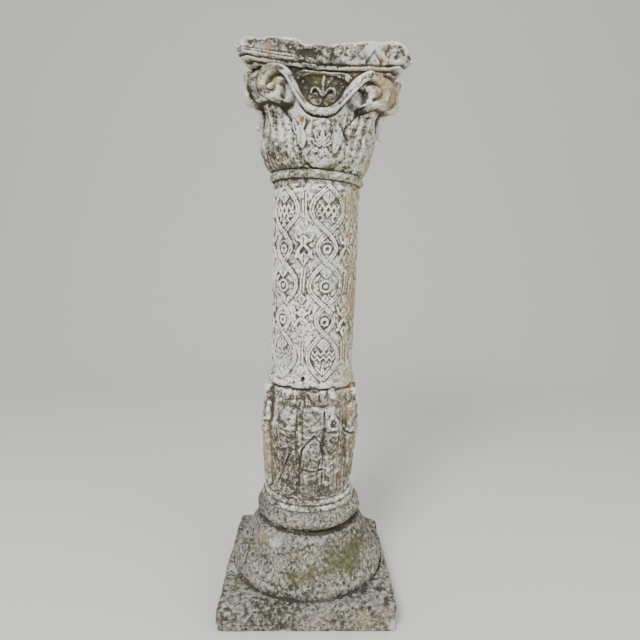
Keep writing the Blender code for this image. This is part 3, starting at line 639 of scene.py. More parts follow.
def robed_figure(across, up, side, knee, hem, width):
    """Relief of one standing figure in metres: a head and veil, shoulders, a chest and a robe down
    to its hem, a bent arm and, on some, a knee under the cloth. Folds follow the cloth as sine
    waves: upright on the robe, and round the far shoulder on the chest."""
    across = across * side / width
    robe = limb(across, up, [(0, 0.150), (0.001, hem + 0.018)], 0.0175, 0.0215, 0.0100)
    chest = limb(across, up, [(0, 0.200), (0, 0.150)], 0.0190, 0.0165, 0.0115)
    lean = 0.007 * np.sin((up - 0.03) / 0.030)
    pleats = gathered((across + lean) / 0.0015) * smooth_step(0.165, 0.140, up)
    swags = gathered(np.hypot(across + 0.014, 0.8 * (up - 0.214)) / 0.0016)
    swags *= between(up, 0.105, 0.130, 0.196, 0.206)
    cloth = np.maximum(robe, chest)
    cloth += (0.0012 * pleats + 0.0014 * swags) * (cloth > 0.003)
    # The face is a plain calm one: hollows under the brow, a nose and a mouth, all worn soft
    eyes = ridge(np.hypot(np.abs(across) - 0.0036, up - 0.2400), 0.0024)
    nose = ridge(across, 0.0018) * ridge(up - 0.2365, 0.0050)
    mouth = ridge(across, 0.0040) * ridge(up - 0.2315, 0.0016)
    head = limb(across, up, [(0, 0.2420), (0.0005, 0.2345)], 0.0105, 0.0090, 0.0155)
    head -= (0.0016 * eyes - 0.0012 * nose + 0.0010 * mouth) * (head > 0.008)
    parts = [cloth,
             limb(across, up, [(-0.010, 0.2070), (0.0, 0.2110), (0.010, 0.2070)], 0.0078, 0.0078,
                  0.0112),
             head,
             limb(across, up, [(-0.002, 0.238), (-0.003, 0.223)], 0.0138, 0.0125, 0.0085),
             limb(across, up, [(0.0145, 0.207), (0.0172, 0.179)], 0.0074, 0.0070, 0.0128),
             limb(across, up, [(0.0172, 0.179), (-0.001, 0.170)], 0.0070, 0.0052, 0.0136)]
    if knee:
        parts += [limb(across, up, [(0.002, 0.146), (0.006, 0.116)], 0.0140, 0.0120, 0.0155),
                  limb(across, up, [(0.006, 0.116), (0.002, 0.050)], 0.0095, 0.0080, 0.0130)]
    return np.maximum.reduce(parts)


def wrapped(angle):
    """The same angles between minus and plus half a turn."""
    return (angle + np.pi) % (2 * np.pi) - np.pi


def figures(turn, up):
    """Relief of the ring of nine figures round the drum, in metres over its core."""
    total = 0.0015 * between(up, 0.030, 0.060, 0.215, 0.235)
    places = ((-70, 1, False, 0.030, 1.05), (-30, -1, False, 0.030, 1.25),
              (3, 1, True, 0.030, 1.15), (27, -1, False, 0.030, 0.95),
              (62, 1, False, 0.078, 1.15), (104, -1, True, 0.030, 1.15),
              (150, 1, False, 0.030, 1.2), (196, -1, False, 0.030, 1.2),
              (241, 1, True, 0.030, 1.2))
    for azimuth, side, knee, hem, width in places:
        away = wrapped(turn - np.radians(azimuth)) * figure_radius
        total = np.maximum(total, robed_figure(away, up, side, knee, hem, width))
    return total


def drum_line(turn, up, line, half_width):
    """A ridge along a broken line given in degrees of azimuth and millimetres of height."""
    degree_wide = 0.00171
    line = [(azimuth, 0.001 * height / degree_wide) for azimuth, height in line]
    away, _ = near_line(np.degrees(turn), up / degree_wide, line)
    return ridge(away * degree_wide, half_width)


def drum_details(turn, up):
    """What only the front of the drum shows, in metres: the creases round the bent knee, the
    bowl-like sleeve with the folds under it, the hanging strap, and the deep lower crease."""
    raised = [([(26, 196), (31, 186), (30, 172), (22, 170), (20, 184), (24, 196)], 0.0045, 0.0046),
              ([(38.6, 190), (39, 140), (37, 76)], 0.0030, 0.0028)]
    raised += [([(19, dip), (25, dip - 13), (32, dip - 4)], 0.0016, 0.0019)
               for dip in (150, 137, 124, 111)]
    raised += [([(-42, dip), (-35, dip - 12), (-26, dip - 3)], 0.0014, 0.0019)
               for dip in (150, 138, 126)]
    detail = sum(height * drum_line(turn, up, line, half) for line, height, half in raised)
    creases = (([(15.5, 205), (15, 178), (19, 164), (31, 162)], 0.0060),
               ([(4.7, 158), (-4, 142), (-10, 122), (-12.5, 88), (2, 84), (17, 86)], 0.0045),
               ([(4.7, 158), (11, 146), (15, 120)], 0.0040),
               ([(-24, 116), (-30, 88), (-40, 50)], 0.0060),
               ([(-13.8, 221), (-12.5, 196), (-11.9, 176)], 0.0028),
               ([(-12, 222), (2, 206), (9, 188)], 0.0022),
               ([(-50, 205), (-51, 178), (-44, 165)], 0.0045),
               ([(44, 205), (45, 165), (54, 152), (62, 148)], 0.0052),
               ([(50, 140), (52, 96), (55, 58)], 0.0038),
               ([(-13, 86), (-12, 60), (-12, 34)], 0.0026))
    broken = noise(around(1.0, turn, up / 0.1), 0.22, 295).reshape(turn.shape)
    broken = np.clip(0.75 + 0.6 * broken, 0.15, 1.1)
    for line, depth in creases:
        detail -= depth * broken * drum_line(turn, up, line, 0.0030)
    return detail


def shaft_surface():
    """Radius of every ring and column: the plain outline by height, plus the carving over it,
    as a function of azimuth and height."""
    turn = angles_round(shaft_columns, 0.5)
    up = np.linspace(0.0, shaft_height, shaft_rings)
    turn, up = np.meshgrid(turn, up)
    heights = [0.0, 0.004, 0.0045, 0.0095, 0.010, 0.0155, 0.016, 0.022, 0.060, 0.115, 0.150,
               0.185, 0.220, 0.240, 0.2475, 0.250]
    radii = [0.100, 0.0995, 0.0975, 0.0968, 0.0948, 0.0938, 0.0918, 0.0890, 0.0890, 0.0915,
             0.0935, 0.0930, 0.0905, 0.0885, 0.0868, 0.0880]
    plain = np.interp(up, heights, radii)
    ring = np.sqrt(ridge(up - ring_low - ring_height / 2, ring_height / 2))
    plain = np.where(up > ring_low, ring_radius + 0.0058 * ring, plain)
    taper = knot_radius + 0.0025 * (up - knot_low) / knot_height
    plain = np.where(up > knot_low, taper, plain)
    return turn, up, plain


turn, up, plain = shaft_surface()
flat_points = around(plain, turn, up)

column = (turn - first_column) / (2 * np.pi / 6)
across = (column - np.round(column)) * column_gap
# The carver's hand: the lines wander by up to about a millimetre and a half
strays = [0.0015 * noise(flat_points, 0.028, seed).reshape(turn.shape) for seed in (297, 299)]
strands, fill = knotwork(across + strays[0], up + strays[1])
on_knots = smooth_step(knot_low - 0.001, knot_low + 0.002, up)
front_left = smooth_step(1.25, 0.55, np.abs(turn + 0.35))
worn_right = between(turn, 0.70, 1.05, 1.9, 2.6)
patchy = noise(flat_points, 0.045, 301).reshape(turn.shape)
keep = 0.80 + 0.20 * front_left - 0.45 * worn_right
keep -= 0.30 * smooth_step(0.50, 0.38, up) * smooth_step(0.1, -0.4, turn) * front_left
keep = np.clip(keep + 0.28 * patchy, 0.25, 1.0)
relief = on_knots * keep * (strand_rise * strands + fill_rise * fill)
on_drum = smooth_step(foot_height, foot_height + 0.006, up) * (1 - smooth_step(0.247, 0.252, up))
carved = figures(turn, up) * (0.92 + 0.12 * patchy) + drum_details(turn, up)
rugged = layered(flat_points, 0.016, 3, 305).reshape(turn.shape)
relief += on_drum * (carved + 0.0010 * rugged)
# The crease under the ring wanders, and the ring is ragged where it meets the heads
crease_level = 0.2465 + 0.0025 * noise(flat_points, 0.02, 311).reshape(turn.shape)
relief -= 0.0048 * ridge(up - crease_level, 0.0034)
# Drilled hole in the front of the ring, and two slots at the top of the shaft
hole = np.hypot((turn - np.radians(-12.0)) * 0.09, up - 0.2676)
relief -= 0.009 * smooth_step(0.0050, 0.0036, hole)
for azimuth, height, half in ((-27.0, 0.639, 0.005), (3.2, 0.6385, 0.004)):
    slot_across = (turn - np.radians(azimuth)) * 0.087
    relief -= 0.004 * ridge(slot_across, half) * ridge(up - height, 0.0018)

radius = plain + relief
surface = around(radius, turn, up)
grit_broad = 0.0010 * layered(surface, 0.030, 2, 321)
grit = 0.0006 * layered(surface, 0.010, 2, 331) + 0.00045 * layered(surface, 0.0045, 2, 341)
more_right = 1 + 0.8 * worn_right.ravel()
grit_holes = (more_right * 0.0016 * pits(surface, 0.016, 0.0036, 0.5, 351)
              + 0.0009 * pits(surface, 0.008, 0.0024, 0.5, 361))
offset = (grit_broad + grit - grit_holes).reshape(turn.shape)
offset *= smooth_step(0.0, 0.004, up) * smooth_step(shaft_height, shaft_height - 0.002, up)
offset -= 0.0014 * ridge(up - 0.0100, 0.0022) + 0.0014 * ridge(up - 0.0205, 0.0022)
radius = radius + offset
# The underside follows the level bed of the base, which the leaning block is cut to
level = np.sin(shaft_lean) * radius * np.sin(turn) + 0.0003
height = up + level * smooth_step(0.03, 0.0, up)
points = np.concatenate([around(radius, turn, height), [[0, 0, 0.0003], [0, 0, shaft_height]]])


def leaning(points, angle):
    """The points turned about the depth axis, so that what stands upright leans to the right."""
    cosine, sine = np.cos(angle), np.sin(angle)
    return points @ np.array([[cosine, 0, sine], [0, 1, 0], [-sine, 0, cosine]]).T


shaft = add_piece("shaft", leaning(points, shaft_lean) + shaft_foot,
                  closed_grid(shaft_rings, shaft_columns))

# Paint: painted shade in the hollows, a tan right side and leg, pale chests, algae, and specks of
# orange lichen
fine = relief + offset
hollow = per_point(settle(fine.copy(), 4) - fine) / 0.0011
deep = per_point(settle(fine.copy(), 14) - fine) / 0.0035
drum_part = smooth_step(ring_low + 0.004, ring_low - 0.004, up)
dark_share = per_point(1 - 0.45 * drum_part)
# Painted shade in the carving's fine and deep hollows, weaker on the drum
paint(shaft, "hollow", dark_share * (0.85 * np.clip(hollow, 0, 1) + 0.45 * np.clip(deep, 0, 1)))
at_foot = smooth_step(0.045, 0.015, up)
# Tone: darker on the drum, less so at its foot and more so on its lower part, lighter at the front
# left above it, and darker in a spot at the front figure's head
tone_shift = -0.45 * drum_part * (1 - 0.35 * at_foot) + 0.25 * front_left * (1 - drum_part)
tone_shift -= (0.30 * drum_part * smooth_step(0.170, 0.120, up) * (1 - at_foot)
          * (0.7 + 0.3 * smooth_step(0.55, 0.25, turn)))
tone_shift -= 0.45 * bell_curve(turn - 0.07, 0.10) * bell_curve(up - 0.234, 0.012)
# The tone also has painted light and shade: darker in the carving's hollows, lighter on what stands
# out
paint(shaft, "tone_and_relief_shade", per_point(tone_shift) - dark_share * (0.7 * hollow + 0.3 * deep))
side_warm = between(turn, 0.35, 0.9, 1.8, 2.6)
leg = bell_curve(turn + 1.25, 0.24) * between(up, 0.045, 0.07, 0.155, 0.18)
warmth = side_warm * (0.75 + 0.25 * noise(flat_points, 0.03, 371).reshape(turn.shape))
paint(shaft, "warm", per_point(warmth * (1 - 0.5 * drum_part) + 1.3 * leg))
bright = layered(flat_points, 0.045, 2, 381).reshape(turn.shape)
bright = 0.18 + 0.30 * bright + 0.18 * front_left * (1 - drum_part) - 0.30 * worn_right
for azimuth, wide, level, tall in ((-29, 0.012, 0.200, 0.014), (23, 0.007, 0.207, 0.010)):
    away = (turn - np.radians(azimuth)) * figure_radius
    bright += 1.1 * bell_curve(away, wide) * bell_curve(up - level, tall)
paint(shaft, "pale", per_point(bright - 0.25 * drum_part))
mossy = 0.20 + 0.35 * layered(flat_points, 0.050, 2, 391).reshape(turn.shape)
paint(shaft, "algae", per_point(mossy - 0.15 * smooth_step(0.05, 0.02, up) - 0.30 * leg))
orange = [spot(points, around(0.094, np.radians(azimuth), height)[0], (reach * 1.6, 0.02, reach), 0.7)
          for azimuth, height, reach in ((54.7, 0.247, 0.0055), (9.0, 0.236, 0.0035),
                                         (24.0, 0.618, 0.006))]
paint(shaft, "lichen", np.maximum.reduce(orange))
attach(shaft, "root")
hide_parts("shaft")
shaft.data.materials.append(weathered_limestone("weathered limestone of the shaft", "F2F0E8",
                                                "A9A498", "4C473C", "6C6849"))


# Capital block: a bell under broad leaves that spreads into four corner volutes, a band that
# hangs between them round a shell on every side, and an abacus with concave sides. One limestone
# block, broken along its front edge and softened by long weathering, with deep undercut lines
# that painted shade darkens further.

neck_centre = shaft_foot + leaning(np.array([-0.002, 0.0, shaft_height]), shaft_lean)
capital_lean = np.radians(2.5)
neck_radius, neck_ring_middle = 0.0862, 0.0175
bell_low, bell_top = 0.026, 0.187
slab_low, slab_middle = 0.1985, 0.2352
abacus_half, abacus_hollow, abacus_corner = 0.1555, 0.021, 0.012
volute_reach, volute_height = 0.028, 0.161
volute_across, volute_out = 0.0845, 0.1185
quarter = np.pi / 2


def weighted_angles(count):
    """Azimuths once round, closer together at the front and towards the four corners."""
    turn = np.linspace(-np.pi, np.pi, 4001)
    corner = turn % quarter - quarter / 2
    weight = 1 + 1.2 * smooth_step(1.35, 0.85, np.abs(turn))
    weight += 0.8 * smooth_step(0.5, 0.2, np.abs(corner))
    total = np.concatenate([[0], np.cumsum((weight[1:] + weight[:-1]) / 2)])
    return np.interp(np.arange(count) / count, total / total[-1], turn)


def outline_reach(turn, inset):
    """Distance from the axis to a square with cut corners and concave sides, by azimuth."""
    half = abacus_half - inset
    along = np.linspace(-1, 1, 41)
    across = along * (half - abacus_corner)
    out = half - abacus_hollow * (1 - along ** 2)
    angle = np.arctan2(across, out)
    reach = np.hypot(across, out)
    local = (turn + quarter / 2) % quarter - quarter / 2
    corner_flat = (2 * half - abacus_corner) / (np.cos(local) + np.abs(np.sin(local)))
    return np.where(np.abs(local) < angle[-1], np.interp(local, angle, reach), corner_flat)


def ball_reach(turn, up, centre_turn, out, level, sizes):
    """Distance from the axis at which a level ray leaves an ellipsoid (0 where it misses it).
    The sizes are half its width across, half its depth and half its height."""
    local = wrapped(turn - centre_turn)
    room = 1 - ((up - level) / sizes[2]) ** 2
    side, ahead = np.sin(local) / sizes[0], np.cos(local) / sizes[1]
    middle = out / sizes[1]
    a = side ** 2 + ahead ** 2
    b = -2 * ahead * middle
    c = middle ** 2 - room
    root = b * b - 4 * a * c
    reach = (-b + np.sqrt(np.maximum(root, 0))) / (2 * a)
    return np.where((root > 0) & (room > 0) & (np.cos(local) > 0), reach, 0)


def scroll_reach(turn, up, side):
    """Distance from the axis at which a level ray leaves the round block of one volute, whose
    flat end faces the front and is turned a little to the corner."""
    tip = side * np.radians(16)
    width = np.sqrt(np.clip(volute_reach ** 2 - (up - volute_height) ** 2, 0, None))
    ray_x, ray_y = np.sin(turn), np.cos(turn)
    along = ray_x * np.cos(tip) - ray_y * np.sin(tip)
    ahead = ray_x * np.sin(tip) + ray_y * np.cos(tip)
    eye = np.array([side * volute_across, volute_out])
    eye_along = eye[0] * np.cos(tip) - eye[1] * np.sin(tip)
    eye_ahead = eye[0] * np.sin(tip) + eye[1] * np.cos(tip)
    last_side = np.where(along > 0, eye_along + width, eye_along - width) / np.where(
        np.abs(along) < 1e-6, 1e-6, along)
    first_side = np.where(along > 0, eye_along - width, eye_along + width) / np.where(
        np.abs(along) < 1e-6, 1e-6, along)
    last_end = (eye_ahead + 0.019) / np.maximum(ahead, 1e-6)
    first_end = (eye_ahead - 0.030) / np.maximum(ahead, 1e-6)
    leaves = np.minimum(last_side, last_end)
    enters = np.maximum(first_side, first_end)
    hit = (leaves > enters) & (ahead > 0.05) & (width > 0)
    return np.where(hit, leaves, 0)


def stroke(across, up, line, half_width, taper):
    """A ridge along a broken line that gets narrower towards its end."""
    away, along = near_line(across, up, line)
    return ridge(away, half_width * (1 - taper * along))


def dome(across, up, half_width, half_height):
    """Half an ellipsoid of height 1 over its outline: the root of one minus the squares."""
    return np.sqrt(np.clip(1 - (across / half_width) ** 2 - (up / half_height) ** 2, 0, 1))


def capital_rows():
    """Heights of the rings from the bed up, with the level steps under each moulding. Every ring
    has a height, the part it belongs to, and its share of the way across that part."""
    rows = [(level, "neck", 0.0) for level in np.linspace(0.0, 0.009, 7)]
    rows += [(level, "ring", 0.0) for level in np.linspace(0.0095, 0.0255, 18)]
    rows += [(level, "bell", 0.0) for level in np.linspace(bell_low, bell_top, 140)]
    rows += [(bell_top + 0.0002 * share, "under", share) for share in np.linspace(0.1, 1, 5)]
    rows += [(level, "bed", 0.0) for level in np.linspace(bell_top + 0.0006, 0.1925, 5)]
    rows += [(level, "step", 0.0) for level in np.linspace(0.1929, 0.1980, 5)]
    rows += [(slab_low, "slab", share) for share in np.linspace(0.0, 1.0, 26)]
    return rows


def bell_reach(up):
    """Radius of the plain bell by height, in straight runs between the given heights."""
    levels = np.array([0.0255, 0.030, 0.037, 0.049, 0.061, 0.072, 0.084, 0.107, 0.130, 0.187])
    reach = np.array([0.0885, 0.0935, 0.099, 0.104, 0.1075, 0.1095, 0.111, 0.1125, 0.1135, 0.114])
    return np.interp(up, levels, reach)


rows = capital_rows()
capital_columns = 450
turn_line = weighted_angles(capital_columns)
levels = np.array([row[0] for row in rows])
kinds = np.array([row[1] for row in rows])
shares = np.array([row[2] for row in rows])
turn, up = np.meshgrid(turn_line, levels)
share = np.repeat(shares[:, None], capital_columns, 1)
kind = np.repeat(kinds[:, None], capital_columns, 1)

local = (turn + quarter / 2) % quarter - quarter / 2
corner_turn = (turn % quarter) - quarter / 2
round_bell = bell_reach(up)
square = np.clip((up - 0.055) / (bell_top - 0.055), 0, 1)
shoulder = (0.075 + 0.041 * square) / np.cos(local)
shoulder = np.minimum(shoulder, (0.112 + 0.052 * square))
body = np.maximum(round_bell, np.where(up > 0.055, shoulder, 0))
leaf_rise = np.interp(up, [0.030, 0.060, 0.100, 0.120, 0.130, 0.1338, 0.1345],
                      [0.002, 0.007, 0.010, 0.017, 0.030, 0.036, 0.0])
leaf_side = np.abs(corner_turn) / (0.36 + 0.10 * smooth_step(0.09, 0.03, up)
                                   - 0.19 * smooth_step(0.090, 0.130, up))
leaf_body = round_bell + leaf_rise * np.sqrt(ridge(leaf_side, 1))
body = np.maximum(body, np.where(np.abs(leaf_side) < 1, leaf_body, 0))
for centre in (-3, -1, 1, 3):
    azimuth = centre * quarter / 2
    body = np.maximum(body, ball_reach(turn, up, azimuth, 0.1500, volute_height - 0.001,
                                       (0.033, 0.0285, 0.0275)))
for number in range(4):
    for side in (-1, 1):
        body = np.maximum(body, scroll_reach(wrapped(turn - number * quarter), up, side))

# What is carved on each side, by the place across it and the height
across = body * np.sin(local)
depth_scale = 1 / np.maximum(np.cos(local), 0.6)
hanging = [(0.000, 0.1215), (0.012, 0.1222), (0.024, 0.1275), (0.036, 0.1385), (0.046, 0.1510),
           (0.055, 0.1640), (0.064, 0.1765), (0.077, 0.1845), (0.092, 0.1830), (0.104, 0.1730),
           (0.108, 0.1580), (0.103, 0.1440), (0.091, 0.1370)]
arch = [(-0.050, 0.172), (-0.040, 0.180), (-0.022, 0.1865), (0.0, 0.189), (0.022, 0.1875),
        (0.040, 0.182), (0.050, 0.174)]
# The band and the volutes stand forward of the bell, so their places are taken on a plane that
# comes forward from the middle to the volutes, and then turns back towards the corner
slope = np.abs(np.tan(local))
band_depth = 0.1180 + 0.0215 * smooth_step(0.036, 0.070, 0.128 * slope)
band_depth = band_depth / (1 + 0.287 * slope * smooth_step(0.60, 0.66, slope))
band_depth = band_depth * (1 + 0.172 * smooth_step(0.60, 0.66, slope))
mirrored = band_depth * slope
signed = mirrored * np.sign(local)
# The right volute of a side sits a little lower and farther out than the left one
moved = smooth_step(0.040, 0.078, mirrored) * (local > 0)
mirrored = mirrored - 0.0055 * moved
band_level = up + 0.0040 * moved
band_away, band_along = near_line(mirrored, band_level, hanging)
arch_away, _ = near_line(across, up, arch)
hanging_level = np.interp(mirrored, [x for x, _ in hanging[:8]], [z for _, z in hanging[:8]])
arch_level = np.interp(across, [x for x, _ in arch], [z for _, z in arch])
on_bell = kind == "bell"
# Between the band and the leaves the volute's block is cut back to a smooth wall
wall_end = 0.074 + 0.009 * smooth_step(0.168, 0.158, band_level)
wall = smooth_step(wall_end, wall_end - 0.004, mirrored)
wall *= smooth_step(0.0, 0.004, hanging_level - band_level)
wall *= smooth_step(0.112, 0.122, up) * on_bell
wall_reach = np.interp(up, (0.118, 0.172), (0.1145, 0.1215)) / np.cos(local)
body += wall * (np.minimum(body, wall_reach) - body)
on_face = on_bell & (np.abs(across) < 0.080)
relief = np.zeros(turn.shape)
inside_shell = on_face & (up > hanging_level) & (up < arch_level) & (np.abs(across) < 0.055)
shell_floor = inside_shell * smooth_step(0.004, 0.009, np.minimum(band_away, arch_away))
relief -= 0.0038 * shell_floor
relief = np.maximum(relief, 0.0050 * on_face * (1 - smooth_step(0.0035, 0.0060, arch_away)))
# The band is round on top; below it, and inside the volute, a deep line is cut under it
eye_away = np.hypot(mirrored - volute_across, band_level - volute_height)
in_scroll = on_bell & (eye_away < 0.020) & ((mirrored > 0.078) | (band_level > 0.163))
band_half = 0.0056 + 0.0008 * np.sin(np.pi * np.clip(2 * band_along - 0.7, 0, 1))
under_band = on_bell * (band_level < hanging_level) * (mirrored < 0.078)
under_band = under_band * ridge(band_away - 0.0082, 0.0028)
relief -= 0.0072 * under_band
recess = in_scroll * smooth_step(0.0180, 0.0150, eye_away)
relief -= (0.0070 + 0.0030 * (signed < 0)) * recess
scroll_eye = dome(signed - 0.0920, up - 0.1520, 0.0145, 0.0150)
left_eye = dome(signed + 0.0860, up - 0.1480, 0.0125, 0.0100)
hook = stroke(signed, up, [(-0.094, 0.145), (-0.090, 0.158), (-0.082, 0.1655), (-0.073, 0.1640),
                           (-0.066, 0.1560)], 0.0046, 0.2)
relief += recess * (0.0100 * scroll_eye + 0.0075 * np.sqrt(hook) + 0.0070 * left_eye)
hung = on_bell * (mirrored < 0.118) * ridge(band_away, 1.15 * band_half)
band_reach = (band_depth - 0.0030 + 0.0080 * np.sqrt(hung)) / np.cos(local)
# Palmette in the shell: a stem, two scrolled curls and two round petals under them
stem = stroke(across, up, [(0.001, 0.150), (0.002, 0.186)], 0.0042, 0.1)
from_stem = np.abs(across - 0.002)
curl = stroke(from_stem, up, [(0.003, 0.150), (0.007, 0.1575), (0.013, 0.162), (0.0195, 0.1595),
                              (0.021, 0.1535)], 0.0036, 0.3)
petal = dome(from_stem - 0.0150, up - 0.1405, 0.0130, 0.0150)
ribs = [stroke(across, up, [(0.006 * number, 0.160), (0.0175 * number, 0.183)], 0.0038, -0.2)
        for number in (-2, -1, 1, 2)]
palmette = np.maximum.reduce([0.0062 * stem, 0.0062 * curl, 0.0052 * petal]
                             + [0.0022 * rib_line for rib_line in ribs])
curl_gap = stroke(from_stem, up, [(0.004, 0.1455), (0.0085, 0.1525), (0.014, 0.1565),
                                  (0.018, 0.1545)], 0.0026, 0.2)
relief += shell_floor * palmette - 0.0028 * curl_gap * inside_shell

# Leaf in the middle of the face, a fan of fingers round a small palmette, with a raised rim
leaf_middle = np.array([0.008, 0.068])
leaf_across = (across - leaf_middle[0]) / 0.042
leaf_up = (up - leaf_middle[1]) / 0.0425
leaf_turn = np.arctan2(leaf_across, leaf_up)
leaf_away = np.hypot(leaf_across, leaf_up) / (1 + 0.020 * np.cos(9 * leaf_turn))
leaf_dome = np.sqrt(ridge(leaf_away, 1))
fingers = 0.5 + 0.5 * np.cos(11 * leaf_turn + 4 * leaf_away)
leaf_relief = 0.0072 * leaf_dome * (0.80 + 0.20 * fingers)
leaf_relief += 0.0016 * ridge(leaf_away - 0.86, 0.10)
outline_part = smooth_step(0.055, 0.030, up) + smooth_step(0.030, 0.038, across) * (up > 0.045)
leaf_relief -= 0.0022 * np.clip(outline_part, 0.2, 1) * ridge(leaf_away - 1.06, 0.070)
leaf_relief += 0.0032 * fan(across - 0.005, up, 0.060, 0.036, 5, 52, 0.0046)
leaf_relief += 0.0026 * leaf(across, up, (0.026, 0.050), (0.040, 0.104), 0.0085)
leaf_relief += 0.0012 * fan(across - 0.006, 0.060 - up, 0.0, 0.032, 4, 60, 0.0050)
leaf_relief *= 1 - 0.7 * smooth_step(0.8, 1.1, turn)
relief += np.where(on_bell & (up < 0.113), leaf_relief, 0)

# Upright pale leaf to the left of it, with two notches, and the folds of the corner leaves
pale_leaf = np.maximum.reduce([leaf(across, up, (-0.028, 0.056), (-0.037, 0.102), 0.0095),
                               leaf(across, up, (-0.036, 0.088), (-0.028, 0.113), 0.0062),
                               leaf(across, up, (-0.040, 0.080), (-0.050, 0.113), 0.0060)])
relief += np.where(on_bell & (local < 0.1), 0.0048 * pale_leaf, 0)
fold_turn = np.abs(corner_turn)
folds = np.zeros(turn.shape)
for place, strength in ((0.0, 1.0), (0.115, 0.85), (0.225, 0.75)):
    spread = place * (1 + 0.5 * smooth_step(0.13, 0.03, up))
    folds = np.maximum(folds, strength * ridge(fold_turn - spread, 0.050))
relief += on_bell * between(up, 0.030, 0.050, 0.122, 0.136) * (0.0019 * folds - 0.0007)
leaf_edge = ridge(fold_turn - 0.34, 0.035) * between(up, 0.045, 0.07, 0.110, 0.128)
relief -= on_bell * 0.0016 * leaf_edge

reach = body + relief * depth_scale
reach = np.where(hung > 0, np.maximum(reach, band_reach), reach)
# The sides and back are worn softer than the front
reach += smooth_step(0.95, 1.25, np.abs(turn)) * (settle(reach.copy(), 2) - reach)
ring = neck_radius + 0.0003 + 0.0095 * np.sqrt(ridge(up - neck_ring_middle, 0.0082))
reach = np.where(kind == "neck", neck_radius, reach)
reach = np.where(kind == "ring", ring, reach)
top_body = body[np.flatnonzero(kinds == "bell")[-1]][None, :]
bed_reach = outline_reach(turn, 0.026)
under_reach = top_body + (np.maximum(bed_reach, top_body * 0.9) - top_body) * share
reach = np.where(kind == "under", under_reach, reach)
bed_bulge = 0.0022 * np.sin(np.pi * np.clip((up - bell_top) / 0.0055, 0, 1))
reach = np.where(kind == "bed", bed_reach + bed_bulge, reach)
step_bulge = 0.0022 * np.sin(np.pi * np.clip((up - 0.1927) / 0.0055, 0, 1))
reach = np.where(kind == "step", outline_reach(turn, 0.013) + step_bulge, reach)

# The slab: its edge is rolled over above and below, and its top follows what is broken off
slab_outline = outline_reach(turn, 0.0)
near_front = smooth_step(-0.060, -0.100, -slab_outline * np.cos(turn))
lost_x = [-0.160, -0.150, -0.138, -0.124, -0.114, -0.104, -0.090, -0.057, -0.045, -0.039, -0.019,
          0.012, 0.023, 0.065, 0.122, 0.137, 0.149, 0.160]
lost_z = [0.2190, 0.2225, 0.2250, 0.2262, 0.2245, 0.2300, 0.2352, 0.2356, 0.2330, 0.2280, 0.2298,
          0.2330, 0.2350, 0.2364, 0.2368, 0.2310, 0.2210, 0.2150]
front_top = np.interp(slab_outline * np.sin(turn), lost_x, lost_z)
edge_points = around(slab_outline, turn, 0 * turn)
other_top = slab_middle + 0.0016 * layered(edge_points, 0.050, 2, 401).reshape(turn.shape)
top_edge = other_top + (front_top - other_top) * near_front
slab_level = slab_low + (top_edge - slab_low) * share
rounding = 1 - np.sqrt(np.clip(1 - np.abs(2 * share - 1) ** 3.2, 0, 1))
corner_wear = bell_curve(corner_turn, 0.10)
slab_inset = (0.0085 + 0.002 * corner_wear) * rounding
slab_reach = slab_outline - slab_inset - 0.0060 * corner_wear ** 4
reach = np.where(kind == "slab", slab_reach, reach)
up = np.where(kind == "slab", slab_level, up)

# The broken boss in the middle of the front, and a V-shaped nick to the right of it
front_across = reach * np.sin(turn)
on_abacus, ahead = np.isin(kind, ("under", "bed", "step", "slab")), np.cos(turn) > 0
reach -= (on_abacus & ahead) * 0.0080 * dome(front_across + 0.024, up - 0.204, 0.024, 0.019)
worn_mouldings = (bell_curve(front_across + 0.022, 0.034) * ahead
                  * between(up, 0.186, 0.190, 0.206, 0.214))
reach += worn_mouldings * (settle(reach.copy(), 10) - reach)
nick = np.maximum(*(stroke(front_across, up, [(start, 0.201), (0.0885, 0.2190)], 0.0042, 0.2)
                    for start in (0.075, 0.103)))
nick_floor = smooth_step(0.015, 0.011, np.abs(front_across - 0.089) + 0.75 * (up - 0.201))
reach -= (kind == "slab") * ahead * (0.0042 * nick + 0.0022 * nick_floor)
strip = (kind == "slab") & (np.cos(turn) > 0.5)
left_grooves = ridge(up - 0.2075 - 0.02 * (front_across + 0.1), 0.0014) + ridge(up - 0.2030, 0.0012)
reach -= strip * 0.0026 * left_grooves * smooth_step(-0.045, -0.060, front_across)

points = around(reach, turn, up)
broad = 0.0024 * layered(points, 0.034, 2, 411)
grit = 0.0011 * layered(points, 0.012, 2, 421) + 0.0006 * layered(points, 0.005, 2, 431)
holes = (0.0026 * pits(points, 0.017, 0.0042, 0.5, 441)
         + 0.0014 * pits(points, 0.009, 0.0026, 0.5, 451))
rough = (broad + grit - holes).reshape(turn.shape)
rough += on_abacus * (0.0034 * layered(points, 0.026, 3, 461)).reshape(turn.shape)
rough *= np.where(kind == "neck", 0.25, 1.0) * np.where(kind == "ring", 0.6, 1.0)
rough = np.minimum(rough, np.where(kind == "slab", 0.0004, 0.006))
reach = reach + rough
up = np.where(kind == "slab", up + np.minimum(0.6 * rough, 0.0005) * share, up)

top_rings = 9
top_share = np.linspace(0.92, 0.06, top_rings)[:, None]
top_reach = reach[-1][None, :] * top_share
top_up = slab_middle + (up[-1][None, :] - slab_middle) * top_share ** 4
grid_reach = np.concatenate([reach, top_reach])
grid_up = np.concatenate([up, top_up])
grid_turn = np.concatenate([turn, np.repeat(turn[:1], top_rings, 0)])
